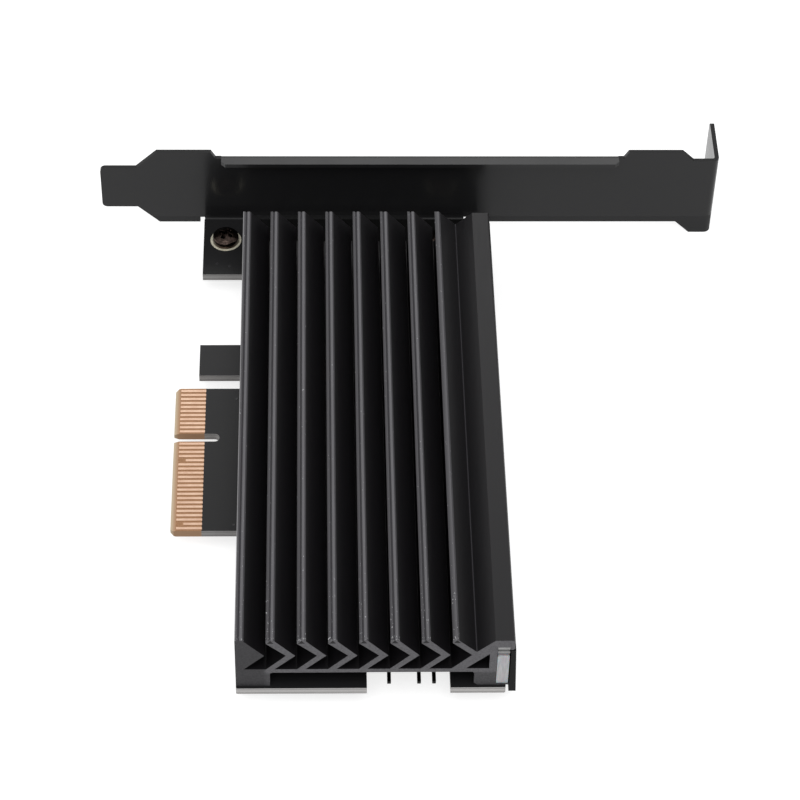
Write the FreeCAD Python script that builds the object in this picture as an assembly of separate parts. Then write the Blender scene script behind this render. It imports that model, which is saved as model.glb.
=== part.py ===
import FreeCAD, Part
import math
import os

# NVMe adapter card with a chevron-finned heatsink, millimetres, +Z up.
# Origin: centre of the key notch, at the tip of the edge connector, half way through the board.
# +X runs from the connector into the card, +Y towards the slot bracket.

# Circuit board
board_thickness = 1.57
board_rear = 57.15
board_shoulder = 12.2
ear_reach = 8.0
ear_length = 15.2
foot_length = 7.8
foot_gap = 3.35
board_corner = 0.3
cutout_offset = 9.35
cutout_width = 14.2
cutout_depth = 5.6
cutout_corner = 0.8

# Edge connector
key_width = 1.9
key_depth = 8.3
short_section = 11.15
long_section = 21.15
tip_bevel = 0.9
tip_bevel_depth = 0.4
tip_corner = 0.6
contact_pitch = 1.0
contact_width = 0.7
contact_inset = 1.0
contact_length = 4.6
contact_thickness = 0.04
contact_offset = 1.5
short_contacts = 11
long_contacts = 21
sense_contacts = (4, 19)
sense_setback = 1.3

# Slot bracket
sheet = 0.86
bend_inside = 0.4
bracket_gap = 1.9
bracket_overhang = 15.7
bracket_length = 120.02
bracket_width = 18.42
tongue_width = 10.19
tongue_length = 6.9
tongue_corner = 1.0
lip_margin_left = 23.5
lip_margin_right = 19.72
lip_depth = 2.25
lip_drop = 1.0
lip_corner = 0.8
lip_notch = 1.1
lip_notch_slant = 0.9
lip_notch_depth = 1.6
shoulder_above = 5.0
shoulder_below = 4.3
chassis_tab_depth = 11.43
chassis_tab_width = 19.05
chassis_tab_drop = 2.9
chassis_tab_corner = 0.8
chassis_slot_width = 4.42
chassis_slot_depth = 6.6
chassis_slot_offset = 6.35
board_tab_width = 8.6
board_tab_length = 11.6
board_tab_corner = 1.5
tab_notch = 0.9

# Bracket screws
bracket_screw_radius = 1.5
bracket_screw_length = 4.0
bracket_screw_head = 2.5
bracket_screw_head_height = 1.9
bracket_screw_setback = 5.8
bracket_screw_from_ear = 4.3
bracket_screw_from_right = 7.1
screw_crown = 0.45
recess_width = 0.7
recess_length = 2.6
recess_depth = 0.9
pad_width = 0.5
pad_thickness = 0.05
thread_clearance = 0.03
hole_clearance = 0.1

# Heatsink extrusion
heatsink_rear_gap = 10.8
heatsink_front_inset = 0.55
heatsink_side_inset = 0.0
bay_height = 3.65
bay_width = 34.5
bay_corner = 0.5
foot_chamfer = 0.6
left_foot_width = 5.8
right_foot_width = 5.45
base_thickness = 0.95
heatsink_height = 12.5
fin_count = 8
last_fin_gap = 7.15
fin_top = 1.25
last_fin_top = 0.8
fin_shoulder = 0.9
fin_reach = 3.65
fin_apex_height = 3.7
fin_apex_depth = 1.55
fin_root = 1.4
fin_groove_width = 0.4
fin_groove_depth = 0.25
rail_top = 3.3
rail_overhang = 1.1
rail_step = 0.35
rail_round = 0.5
rail_web = 1.98
rail_wall = 1.25
rail_floor = 0.5
rail_pocket_height = 9.8
lip_wall = 0.7
rail_lip_height = 2.5
rail_lip_chamfer = 0.3
heatsink_screw_radius = 1.0
heatsink_screw_length = 4.6
heatsink_screw_head = 1.9
heatsink_screw_head_height = 1.3
heatsink_screw_recess_length = 1.9
heatsink_screw_recess_depth = 0.6
heatsink_screw_inset = 8.0
screw_tip_space = 0.4

# Light strip in the rail
light_pocket_width = 2.15
light_clearance = 0.07
light_bar_height = 7.35
light_bar_corner = 0.18
strip_board_thickness = 0.55
strip_led_count = 12
strip_led_length = 2.0
strip_led_height = 0.7
film_thickness = 0.35
lead_thickness = 0.3
lead_width = 1.4
lead_foot = 1.8
cover_thickness = 1.25
cover_slant = 0.45
cover_standoff = 0.15
cover_drop = 1.8
cover_lip_clearance = 0.2
cover_rib = 0.4
thermal_pad_width = 20.0
thermal_pad_thickness = 0.5
thermal_pad_setback = 2.0
thermal_pad_end_gap = 7.6

# SSD socket, on the bay's centre line
socket_width = 21.9
socket_depth = 7.6
socket_height = 3.2
socket_setback = 1.3
socket_corner = 0.7
socket_mouth = 1.1
socket_slot_width = 20.1
socket_slot_height = 0.95
socket_slot_depth = 4.4
socket_slot_lift = 1.45
socket_key_offset = 6.1
socket_key_width = 1.2
socket_contact_pitch = 0.5
socket_contact_width = 0.22
socket_contact_thickness = 0.15
socket_tail_reach = 0.9
socket_rear_contacts = 38
socket_front_contacts = 36
ssd_length = 80.0
ssd_shorter_lengths = (42.0, 60.0)
standoff_radius = 2.3
standoff_height = 1.5
standoff_spigot_radius = 1.7
standoff_to_header = 8.83
ssd_screw_radius = 1.0
ssd_screw_length = 2.4
ssd_screw_head = 2.2
ssd_screw_head_height = 0.8
ssd_recess_length = 2.2
ssd_recess_depth = 0.45

# Light header
header_places = (0, 2, 3)
header_place_count = 4
header_pitch = 2.54
header_depth = 2.5
header_height = 2.54
header_pin = 0.64
header_pin_reach = 6.0
header_tail_offset = 1.27
header_tail_length = 1.4
header_hole_radius = 0.5
header_waist = 0.25
header_offset = 7.54

# Parts on the solder side
chip_pitch = 2.1
capacitor_size = (1.0, 0.5, 0.5)
resistor_size = (1.0, 0.5, 0.35)
bulk_size = (2.0, 1.25, 1.2)
inductor_size = (4.1, 4.1, 1.5)
inductor_corner = 0.5
regulator_size = (3.0, 3.0, 0.9)
power_x = 22.0
power_y = -24.0
power_spacing = 6.0
bulk_count = 4
bulk_pitch = 3.0
chip_row_x = 14.2
chip_count = 8
resistor_count = 5

# Values worked out from the sizes above
board_top = board_thickness / 2
board_bottom = -board_thickness / 2
ear_x = board_shoulder - ear_reach
tongue_rear = key_width / 2 + short_section
tongue_front = -key_width / 2 - long_section
foot_y = tongue_rear + foot_gap

heatsink_left = board_shoulder - heatsink_side_inset
heatsink_rear = board_rear - heatsink_rear_gap
heatsink_top = board_top + heatsink_height
bay_left = heatsink_left + left_foot_width
bay_right = bay_left + bay_width
bay_centre = (bay_left + bay_right) / 2
bay_ceiling = board_top + bay_height
board_right = bay_right + right_foot_width

socket_rear = heatsink_rear - socket_setback
socket_front = socket_rear - socket_depth
ssd_end = socket_front + socket_slot_depth
standoff_y = ssd_end - ssd_length
standoff_top = board_top + standoff_height
standoff_holes = [standoff_y] + [ssd_end - length for length in ssd_shorter_lengths]

header_tail_y = standoff_y - standoff_to_header
header_rear = header_tail_y - header_tail_offset
header_front = header_rear - header_depth
header_pin_z = board_top + header_height / 2

board_front = header_front - header_pin_reach
cutout_right = board_right - cutout_offset
cutout_left = cutout_right - cutout_width
cutout_y = board_front + cutout_depth
header_centre = cutout_left + header_offset
header_x = [header_centre + (k - (header_place_count - 1) / 2) * header_pitch for k in header_places]

bracket_inner = board_rear + bracket_gap
bracket_outer = bracket_inner + sheet
bracket_left = -bracket_overhang
bracket_right = bracket_left + bracket_length
bracket_bottom = board_bottom - sheet
bracket_top = bracket_bottom + bracket_width
bend_outside = bend_inside + sheet
lip_start = bracket_left + lip_margin_left
lip_end = bracket_right - lip_margin_right
chassis_tab_bottom = bracket_bottom - chassis_tab_drop
chassis_tab_top = chassis_tab_bottom + chassis_tab_width
screw_x = (ear_x + bracket_screw_from_ear, board_right - bracket_screw_from_right)
screw_y = board_rear - bracket_screw_setback

heatsink_front = board_front + heatsink_front_inset
heatsink_length = heatsink_rear - heatsink_front
base_top = bay_ceiling + base_thickness
fin_middle = base_top + fin_apex_height
rail_right = board_right + rail_overhang
rail_left = rail_right - rail_top
rail_ridge = heatsink_top - rail_step
pocket_right = rail_right - lip_wall
pocket_left = pocket_right - light_pocket_width
pocket_floor = board_top + rail_floor
pocket_ceiling = pocket_floor + rail_pocket_height
fin_pitch = (rail_left - last_fin_gap - heatsink_left) / (fin_count - 1)
foot_screw_x = ((heatsink_left + bay_left) / 2, (bay_right + pocket_left) / 2)
foot_screw_y = (heatsink_front + heatsink_screw_inset, heatsink_rear - heatsink_screw_inset)

light_left = pocket_left + light_clearance
light_width = light_pocket_width - 2 * light_clearance
strip_board_bottom = pocket_ceiling - strip_board_thickness
strip_led_bottom = strip_board_bottom - strip_led_height
cover_inner = pocket_right + cover_standoff
cover_top = rail_ridge - rail_lip_height - cover_lip_clearance
cover_bottom = board_top - cover_drop


def vec(x, y, z):
    return FreeCAD.Vector(x, y, z)


def box(x0, x1, y0, y1, z0, z1):
    """Block between two corners."""
    return Part.makeBox(x1 - x0, y1 - y0, z1 - z0, vec(x0, y0, z0))


def post(x, y, z0, z1, radius):
    """Upright cylinder."""
    return Part.makeCylinder(radius, z1 - z0, vec(x, y, z0))


def plate(points, z0, z1):
    """Outline in the board's plane, raised from z0 to z1."""
    wire = Part.makePolygon([vec(x, y, z0) for x, y in points + points[:1]])
    return Part.Face(wire).extrude(vec(0, 0, z1 - z0))


def section(points, y):
    """Face across the card at y, from x and z pairs."""
    return Part.Face(Part.makePolygon([vec(x, y, z) for x, z in points + points[:1]]))


def extruded(points):
    """Part of the heatsink's section, drawn out to the heatsink's length."""
    return section(points, heatsink_front).extrude(vec(0, heatsink_length, 0))


def upright_edges(shape, places, axis=(0, 0, 1)):
    """Straight edges along the axis that pass through one of the places."""
    direction = vec(*axis)
    found = []
    for edge in shape.Edges:
        along = edge.tangentAt(edge.FirstParameter)
        if abs(abs(along.dot(direction)) - 1) > 1e-6:
            continue
        start = edge.Vertexes[0].Point
        for place in places:
            step = vec(*place) - start
            if (step - direction * step.dot(direction)).Length < 1e-3:
                found.append(edge)
    return found


def bend(radius_in, radius_out, corner, toward_a, toward_b, along):
    """Quarter of a bent sheet round a corner axis, between two directions, swept along a vector."""
    a, b = vec(*toward_a), vec(*toward_b)
    middle = (a + b) * math.sqrt(0.5)
    outer = Part.Arc(corner + a * radius_out, corner + middle * radius_out, corner + b * radius_out)
    inner = Part.Arc(corner + b * radius_in, corner + middle * radius_in, corner + a * radius_in)
    sides = [
        outer.toShape(),
        Part.makeLine(corner + b * radius_out, corner + b * radius_in),
        inner.toShape(),
        Part.makeLine(corner + a * radius_in, corner + a * radius_out),
    ]
    return Part.Face(Part.Wire(sides)).extrude(along)


def cross_recess(x, y, top, length, depth):
    """Cross-shaped driver recess cut down from a screw's crown."""
    half, arm = length / 2, recess_width / 2
    return box(x - half, x + half, y - arm, y + arm, top - depth, top + depth).fuse(
        box(x - arm, x + arm, y - half, y + half, top - depth, top + depth))


def pan_head(x, y, seat, radius, height):
    """Screw head with a sloping crown, standing on its seat."""
    crown = height * screw_crown
    rim = Part.makeCone(radius, radius - crown, crown, vec(x, y, seat + height - crown))
    return post(x, y, seat, seat + height - crown, radius).fuse(rim)


def mirror_down(shape, plane_z):
    """Same shape, turned over about a level plane."""
    return shape.mirror(vec(0, 0, plane_z), vec(0, 0, 1))


def circuit_board():
    outline = [
        (0, tongue_front),
        (board_shoulder, tongue_front),
        (board_shoulder, board_front),
        (cutout_left, board_front),
        (cutout_left, cutout_y),
        (cutout_right, cutout_y),
        (cutout_right, board_front),
        (board_right, board_front),
        (board_right, board_rear),
        (ear_x, board_rear),
        (ear_x, board_rear - ear_length),
        (board_shoulder, board_rear - ear_length),
        (board_shoulder, foot_y + foot_length),
        (ear_x, foot_y + foot_length),
        (ear_x, foot_y),
        (board_shoulder, foot_y),
        (board_shoulder, tongue_rear),
        (0, tongue_rear),
    ]
    board = plate(outline, board_bottom, board_top)
    outer = [(board_right, board_front, 0), (board_right, board_rear, 0), (board_shoulder, board_front, 0)]
    board = board.makeFillet(board_corner, upright_edges(board, outer))
    inner = [(cutout_left, cutout_y, 0), (cutout_right, cutout_y, 0)]
    board = board.makeFillet(cutout_corner, upright_edges(board, inner))
    tips = [(0, tongue_rear, 0), (0, tongue_front, 0)]
    board = board.makeChamfer(tip_corner, upright_edges(board, tips))
    key = box(-1, key_depth - key_width / 2, -key_width / 2, key_width / 2, board_bottom - 1, board_top + 1)
    key = key.fuse(post(key_depth - key_width / 2, 0, board_bottom - 1, board_top + 1, key_width / 2))
    bevel = section([(-1, board_top + 1), (-1, board_top - tip_bevel_depth),
                     (0, board_top - tip_bevel_depth), (tip_bevel, board_top),
                     (tip_bevel, board_top + 1)], tongue_front - 1)
    bevel = bevel.extrude(vec(0, tongue_rear - tongue_front + 2, 0))
    holes = [post(x, screw_y, board_bottom - 1, board_top + 1, bracket_screw_radius + hole_clearance)
             for x in screw_x]
    holes += [post(x, y, board_bottom - 1, board_top + 1, heatsink_screw_radius + hole_clearance)
              for x in foot_screw_x for y in foot_screw_y]
    spigot_hole = standoff_spigot_radius + thread_clearance
    holes += [post(bay_centre, y, board_bottom - 1, board_top + 1, spigot_hole) for y in standoff_holes]
    holes += [post(x, header_tail_y, board_bottom - 1, board_top + 1, header_hole_radius) for x in header_x]
    return board.cut([key, bevel, mirror_down(bevel, 0)] + holes)


def contact_places():
    """Distance along the card of each edge contact, with its tip set back where it senses presence."""
    places = []
    for k in range(short_contacts):
        places.append((contact_offset + k * contact_pitch, 0))
    for k in range(long_contacts):
        setback = sense_setback if k in sense_contacts else 0
        places.append((-contact_offset - k * contact_pitch, setback))
    return places


def edge_contacts_front():
    half = contact_width / 2
    end = contact_inset + contact_length
    pads = [box(contact_inset + setback, end, y - half, y + half, board_top, board_top + contact_thickness)
            for y, setback in contact_places()]
    return Part.makeCompound(pads)


def edge_contacts_back():
    return mirror_down(edge_contacts_front(), 0)


def screw_pads():
    """Bare plated rings round the bracket screws."""
    rings = []
    for x in screw_x:
        ring = post(x, screw_y, board_top, board_top + pad_thickness, bracket_screw_head + pad_width)
        bore = post(x, screw_y, board_top - 1, board_top + 1, bracket_screw_radius + hole_clearance)
        rings.append(ring.cut(bore))
    return Part.makeCompound(rings)


def bracket_sheet():
    """Flat part of the bracket, with its reliefs, up to where each bend starts."""
    taper = (bracket_width - tongue_width) / 2
    tongue_end = bracket_left + tongue_length
    bend_x = bracket_right - bend_outside
    shoulder_step = bracket_top - chassis_tab_top
    lip_floor = bracket_top - lip_drop - bend_outside
    notch_floor = bracket_top - lip_notch_depth
    outline = [
        (bracket_left, bracket_bottom + taper),
        (tongue_end, bracket_bottom + taper),
        (tongue_end + taper, bracket_bottom),
    ]
    for x in screw_x:
        tab_left, tab_right = x - board_tab_width / 2, x + board_tab_width / 2
        relief = bracket_bottom + bend_outside
        outline += [
            (tab_left - tab_notch, bracket_bottom),
            (tab_left - tab_notch, relief),
            (tab_right + tab_notch, relief),
            (tab_right + tab_notch, bracket_bottom),
        ]
    outline += [
        (bracket_right - shoulder_below - chassis_tab_drop, bracket_bottom),
        (bracket_right - shoulder_below, chassis_tab_bottom),
        (bend_x, chassis_tab_bottom),
        (bend_x, chassis_tab_top),
        (bracket_right - shoulder_above, chassis_tab_top),
        (bracket_right - shoulder_above - shoulder_step, bracket_top),
        (lip_end + lip_notch + lip_notch_slant, bracket_top),
        (lip_end + lip_notch, notch_floor),
        (lip_end, notch_floor),
        (lip_end, lip_floor),
        (lip_start, lip_floor),
        (lip_start, notch_floor),
        (lip_start - lip_notch, notch_floor),
        (lip_start - lip_notch - lip_notch_slant, bracket_top),
        (tongue_end + taper, bracket_top),
        (tongue_end, bracket_top - taper),
        (bracket_left, bracket_top - taper),
    ]
    flat = section(outline, bracket_inner).extrude(vec(0, sheet, 0))
    tips = [(bracket_left, 0, bracket_bottom + taper), (bracket_left, 0, bracket_top - taper)]
    return flat.makeFillet(tongue_corner, upright_edges(flat, tips, (0, 1, 0)))


def stiffening_lip():
    """Edge of the sheet folded over the card along the bracket's upper side."""
    corner = vec(lip_start, bracket_inner - bend_inside, bracket_top - lip_drop - bend_outside)
    fold = bend(bend_inside, bend_outside, corner, (0, 1, 0), (0, 0, 1),
                vec(lip_end - lip_start, 0, 0))
    top = bracket_top - lip_drop
    flat = box(lip_start, lip_end, bracket_inner - lip_depth, bracket_inner - bend_inside, top - sheet, top)
    ends = [(x, bracket_inner - lip_depth, 0) for x in (lip_start, lip_end)]
    flat = flat.makeChamfer(lip_corner, upright_edges(flat, ends))
    return fold.fuse(flat)


def chassis_tab():
    """Foot of the bracket that is screwed to the case, with its open slot."""
    bottom, top = chassis_tab_bottom, chassis_tab_top
    corner = vec(bracket_right - bend_outside, bracket_outer + bend_inside, bottom)
    fold = bend(bend_inside, bend_outside, corner, (0, -1, 0), (1, 0, 0), vec(0, 0, chassis_tab_width))
    end = bracket_inner + chassis_tab_depth
    flat = box(bracket_right - sheet, bracket_right, bracket_outer + bend_inside, end, bottom, top)
    ends = [(0, end, bottom), (0, end, top)]
    flat = flat.makeFillet(chassis_tab_corner, upright_edges(flat, ends, (1, 0, 0)))
    half = chassis_slot_width / 2
    slot_y = bracket_inner + chassis_slot_offset
    slot_z = bottom + chassis_slot_depth - half
    inside = bracket_right - 2 * sheet
    slot = box(inside, bracket_right + 1, slot_y - half, slot_y + half, bottom - 1, slot_z)
    end_round = Part.makeCylinder(half, 3 * sheet, vec(inside, slot_y, slot_z), vec(1, 0, 0))
    return fold.fuse(flat.cut([slot, end_round]))


def board_tab(x):
    """Small tab folded under the board, tapped for a bracket screw."""
    left, right = x - board_tab_width / 2, x + board_tab_width / 2
    corner = vec(left, bracket_inner - bend_inside, bracket_bottom + bend_outside)
    fold = bend(bend_inside, bend_outside, corner, (0, 1, 0), (0, 0, -1), vec(board_tab_width, 0, 0))
    end = bracket_inner - board_tab_length
    flat = box(left, right, end, bracket_inner - bend_inside, bracket_bottom, board_bottom)
    flat = flat.makeFillet(board_tab_corner, upright_edges(flat, [(left, end, 0), (right, end, 0)]))
    tapped = post(x, screw_y, bracket_bottom - 1, board_bottom + 1, bracket_screw_radius + thread_clearance)
    return fold.fuse(flat).cut(tapped)


def io_bracket():
    folds = [stiffening_lip(), chassis_tab()] + [board_tab(x) for x in screw_x]
    return bracket_sheet().fuse(folds).removeSplitter()


def bracket_screws():
    screws = []
    seat = board_top + pad_thickness
    for x in screw_x:
        head = pan_head(x, screw_y, seat, bracket_screw_head, bracket_screw_head_height)
        shank = post(x, screw_y, seat - bracket_screw_length, seat, bracket_screw_radius)
        recess = cross_recess(x, screw_y, seat + bracket_screw_head_height, recess_length, recess_depth)
        screws.append(head.fuse(shank).cut(recess).removeSplitter())
    return Part.makeCompound(screws)


def chevron_fin(left, top_width):
    """One folded fin: down and out from its top edge, then back in to its root."""
    apex = left + fin_top + fin_reach
    return extruded([
        (left, heatsink_top),
        (left + top_width, heatsink_top),
        (apex, fin_middle),
        (left + fin_root, base_top),
        (left + fin_root, base_top - base_thickness / 2),
        (left, base_top - base_thickness / 2),
        (left, base_top),
        (apex - fin_apex_depth, fin_middle),
        (left, heatsink_top - fin_shoulder),
    ])


def fin_groove(left):
    """Fine groove along the middle of a fin's top edge."""
    middle = left + fin_top / 2
    half = fin_groove_width / 2
    return extruded([
        (middle - half, heatsink_top),
        (middle, heatsink_top - fin_groove_depth),
        (middle + half, heatsink_top),
    ])


def heatsink_side():
    """Solid left side, whose inner face follows the fins, on its foot."""
    return extruded([
        (heatsink_left, board_top),
        (bay_left, board_top),
        (bay_left, base_top),
        (heatsink_left + fin_root, base_top),
        (heatsink_left + fin_top + fin_reach, fin_middle),
        (heatsink_left + fin_top, heatsink_top),
        (heatsink_left, heatsink_top),
    ])


def heatsink_base():
    """Plate that spans the bay and carries the fins."""
    return extruded([
        (bay_left, bay_ceiling),
        (bay_right, bay_ceiling),
        (bay_right, base_top),
        (bay_left, base_top),
    ])


def light_rail():
    """Right side: foot, slanting web and the walls round the light strip's pocket."""
    last_left = heatsink_left + (fin_count - 1) * fin_pitch
    apex = last_left + fin_top + fin_reach
    slope = (heatsink_top - fin_middle) / (apex - last_left - last_fin_top)
    # where the last fin's outer face meets the rail's face, which rises at 45 degrees
    valley_x = (rail_left + rail_step + slope * (last_left + last_fin_top)) / (1 + slope)
    valley_z = rail_ridge - (rail_left - valley_x)
    rail = extruded([
        (last_left, base_top),
        (apex - fin_apex_depth, fin_middle),
        (valley_x, valley_z),
        (rail_left, rail_ridge),
        (rail_right, rail_ridge),
        (rail_right, rail_ridge - rail_lip_height + rail_lip_chamfer),
        (rail_right - rail_lip_chamfer, rail_ridge - rail_lip_height),
        (pocket_right, rail_ridge - rail_lip_height),
        (pocket_right, pocket_ceiling),
        (pocket_left, pocket_ceiling),
        (pocket_left, pocket_floor),
        (pocket_right, pocket_floor),
        (pocket_right, board_top),
        (bay_right + foot_chamfer, board_top),
        (bay_right, board_top + foot_chamfer),
        (bay_right, bay_ceiling),
        (last_left, bay_ceiling),
    ])
    hollow_right = pocket_left - rail_wall
    hollow_left = rail_left - (rail_ridge - base_top) + rail_web * math.sqrt(2)
    hollow = extruded([
        (hollow_left, base_top),
        (hollow_right, base_top),
        (hollow_right, base_top + hollow_right - hollow_left),
    ])
    rail = rail.makeFillet(rail_round, upright_edges(rail, [(rail_right, 0, rail_ridge)], (0, 1, 0)))
    return rail.cut(hollow)


def heatsink():
    parts = [heatsink_base(), light_rail()]
    grooves = [fin_groove(heatsink_left)]
    for k in range(1, fin_count):
        left = heatsink_left + k * fin_pitch
        last = k == fin_count - 1
        parts.append(chevron_fin(left, last_fin_top if last else fin_top))
        if not last:
            grooves.append(fin_groove(left))
    body = heatsink_side().fuse(parts).cut(grooves).removeSplitter()
    corners = [(bay_left, 0, bay_ceiling), (bay_right, 0, bay_ceiling)]
    body = body.makeFillet(bay_corner, upright_edges(body, corners, (0, 1, 0)))
    depth = heatsink_screw_length - board_thickness + screw_tip_space
    taps = [post(x, y, board_top - 1, board_top + depth, heatsink_screw_radius + thread_clearance)
            for x in foot_screw_x for y in foot_screw_y]
    return body.cut(taps)


def heatsink_screws():
    """Screws from the solder side into the heatsink's feet."""
    screws = []
    for x in foot_screw_x:
        for y in foot_screw_y:
            head = post(x, y, 0, heatsink_screw_head_height, heatsink_screw_head)
            recess = cross_recess(x, y, heatsink_screw_head_height, heatsink_screw_recess_length,
                                  heatsink_screw_recess_depth)
            shank = post(x, y, -heatsink_screw_length, 0, heatsink_screw_radius)
            screw = mirror_down(head.fuse(shank).cut(recess).removeSplitter(), 0)
            screws.append(screw.translated(vec(0, 0, board_bottom)))
    return Part.makeCompound(screws)


def thermal_pad():
    """Soft pad on the bay's ceiling, over the place of the SSD's chips."""
    half = thermal_pad_width / 2
    return box(bay_centre - half, bay_centre + half, standoff_y + thermal_pad_end_gap,
               socket_front - thermal_pad_setback, bay_ceiling - thermal_pad_thickness, bay_ceiling)


def light_bar():
    bar = box(light_left, light_left + light_width, heatsink_front, heatsink_rear,
              pocket_floor, pocket_floor + light_bar_height)
    corners = [(x, 0, z) for x in (light_left, light_left + light_width)
               for z in (pocket_floor, pocket_floor + light_bar_height)]
    return bar.makeFillet(light_bar_corner, upright_edges(bar, corners, (0, 1, 0)))


def diffuser_film():
    """Thin strip that lies against the faces of the LEDs."""
    return box(light_left, light_left + light_width, heatsink_front, heatsink_rear,
               strip_led_bottom - film_thickness, strip_led_bottom)


def led_strip_board():
    return box(light_left, light_left + light_width, heatsink_front, heatsink_rear,
               strip_board_bottom, pocket_ceiling)


def strip_leds():
    """Row of LED packages, evenly spaced along the heatsink."""
    pitch = heatsink_length / strip_led_count
    half = strip_led_length / 2
    middles = [heatsink_front + (k + 0.5) * pitch for k in range(strip_led_count)]
    return Part.makeCompound([
        box(light_left, light_left + light_width, y - half, y + half, strip_led_bottom, strip_board_bottom)
        for y in middles])


def strip_lead():
    """Flat lead down the heatsink's rear end, from the strip's board to the circuit board."""
    rear = heatsink_rear + lead_thickness
    outline = [
        (heatsink_rear, pocket_ceiling),
        (rear, pocket_ceiling),
        (rear, board_top + lead_thickness),
        (rear + lead_foot, board_top + lead_thickness),
        (rear + lead_foot, board_top),
        (heatsink_rear, board_top),
    ]
    wire = Part.makePolygon([vec(light_left, y, z) for y, z in outline + outline[:1]])
    lead = Part.Face(wire).extrude(vec(lead_width, 0, 0))
    outer = [(0, rear, board_top + lead_thickness)]
    return lead.makeFillet(lead_thickness, upright_edges(lead, outer, (1, 0, 0)))


def side_cover():
    """Tinted strip over the rail's open side, thinner at its top and hooked over the pocket's floor."""
    outer = cover_inner + cover_thickness
    return extruded([
        (cover_inner, cover_bottom),
        (outer, cover_bottom),
        (outer - cover_slant, cover_top),
        (cover_inner, cover_top),
        (cover_inner, pocket_floor),
        (pocket_right, pocket_floor),
        (pocket_right, pocket_floor - cover_rib),
        (cover_inner, pocket_floor - cover_rib),
    ])


def header_body():
    half = header_place_count * header_pitch / 2
    body = box(header_centre - half, header_centre + half, header_front, header_rear,
               board_top, board_top + header_height)
    pin = header_pin / 2
    front, rear = header_front - 1, header_rear + 1
    tunnels = [box(x - pin, x + pin, front, rear, header_pin_z - pin, header_pin_z + pin) for x in header_x]
    waists = [box(x - header_waist, x + header_waist, front, rear, z - header_waist, z + header_waist)
              for x in (header_centre - half + k * header_pitch for k in range(1, header_place_count))
              for z in (board_top, board_top + header_height)]
    return body.cut(tunnels + waists)


def header_pins():
    """Square pins out over the cut-out, turned down through the board behind the body."""
    half = header_pin / 2
    taper = header_pin / 4
    pins = []
    for x in header_x:
        rear = header_tail_y + half
        outline = [
            (board_front, header_pin_z - half),
            (board_front, header_pin_z + half),
            (rear, header_pin_z + half),
            (rear, board_bottom - header_tail_length),
            (rear - header_pin, board_bottom - header_tail_length),
            (rear - header_pin, header_pin_z - half),
        ]
        wire = Part.makePolygon([vec(x - half, y, z) for y, z in outline + outline[:1]])
        pin = Part.Face(wire).extrude(vec(header_pin, 0, 0))
        pin = pin.makeFillet(half, upright_edges(pin, [(0, rear, header_pin_z + half)], (1, 0, 0)))
        tip = [e for e in pin.Edges if all(abs(v.Point.y - board_front) < 1e-6 for v in e.Vertexes)]
        pins.append(pin.makeChamfer(taper, tip))
    return Part.makeCompound(pins)


def m2_socket_housing():
    """Low socket whose slot faces along the bay, with its key rib."""
    half = socket_width / 2
    body = box(bay_centre - half, bay_centre + half, socket_front, socket_rear, board_top,
               board_top + socket_height)
    sides = [(bay_centre - half, socket_front, 0), (bay_centre + half, socket_front, 0)]
    body = body.makeChamfer(socket_corner, upright_edges(body, sides))
    slot_half = socket_slot_width / 2
    slot_z = board_top + socket_slot_lift
    slot = box(bay_centre - slot_half, bay_centre + slot_half, socket_front - 1, ssd_end,
               slot_z, slot_z + socket_slot_height)
    # the slot's upper lip slopes back, so that the SSD can be tilted in
    mouth_wire = Part.makePolygon([vec(bay_centre - slot_half, y, z) for y, z in (
        (socket_front, slot_z),
        (socket_front, slot_z + socket_slot_height + socket_mouth),
        (socket_front + 2 * socket_mouth, slot_z + socket_slot_height),
        (socket_front + 2 * socket_mouth, slot_z),
        (socket_front, slot_z),
    )])
    mouth = Part.Face(mouth_wire).extrude(vec(socket_slot_width, 0, 0))
    key_x = bay_centre + socket_key_offset
    key = box(key_x - socket_key_width / 2, key_x + socket_key_width / 2, socket_front + 2 * socket_mouth,
              ssd_end, slot_z, slot_z + socket_slot_height)
    return body.cut([slot, mouth]).fuse(key).removeSplitter()


def contact_row(count, inner_y, outer_y):
    """Row of flat solder tails on the board, centred on the socket."""
    half = socket_contact_width / 2
    top = board_top + socket_contact_thickness
    middles = [bay_centre + (k - (count - 1) / 2) * socket_contact_pitch for k in range(count)]
    return [box(x - half, x + half, inner_y, outer_y, board_top, top) for x in middles]


def m2_socket_contacts():
    rear = contact_row(socket_rear_contacts, socket_rear, socket_rear + socket_tail_reach)
    front = contact_row(socket_front_contacts, socket_front - socket_tail_reach, socket_front)
    return Part.makeCompound(rear + front)


def m2_standoff():
    """Threaded standoff soldered into the hole for an 80 mm SSD."""
    body = post(bay_centre, standoff_y, board_top, standoff_top, standoff_radius)
    spigot = post(bay_centre, standoff_y, board_bottom, board_top, standoff_spigot_radius)
    bore = post(bay_centre, standoff_y, board_bottom - 1, standoff_top + 1,
                ssd_screw_radius + thread_clearance)
    return body.fuse(spigot).cut(bore)


def m2_screw():
    head = post(bay_centre, standoff_y, standoff_top, standoff_top + ssd_screw_head_height, ssd_screw_head)
    shank = post(bay_centre, standoff_y, standoff_top - ssd_screw_length, standoff_top, ssd_screw_radius)
    recess = cross_recess(bay_centre, standoff_y, standoff_top + ssd_screw_head_height,
                          ssd_recess_length, ssd_recess_depth)
    return head.fuse(shank).cut(recess).removeSplitter()


def under_board(x, y, size):
    """Block centred at x and y on the board's solder side."""
    length, width, height = size
    return box(x - length / 2, x + length / 2, y - width / 2, y + width / 2,
               board_bottom - height, board_bottom)


def voltage_regulator():
    return under_board(power_x, power_y, regulator_size)


def power_inductor():
    body = under_board(power_x, power_y + power_spacing, inductor_size)
    length, width, _ = inductor_size
    corners = [(power_x + side * length / 2, power_y + power_spacing + end * width / 2, 0)
               for side in (-1, 1) for end in (-1, 1)]
    return body.makeFillet(inductor_corner, upright_edges(body, corners))


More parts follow.
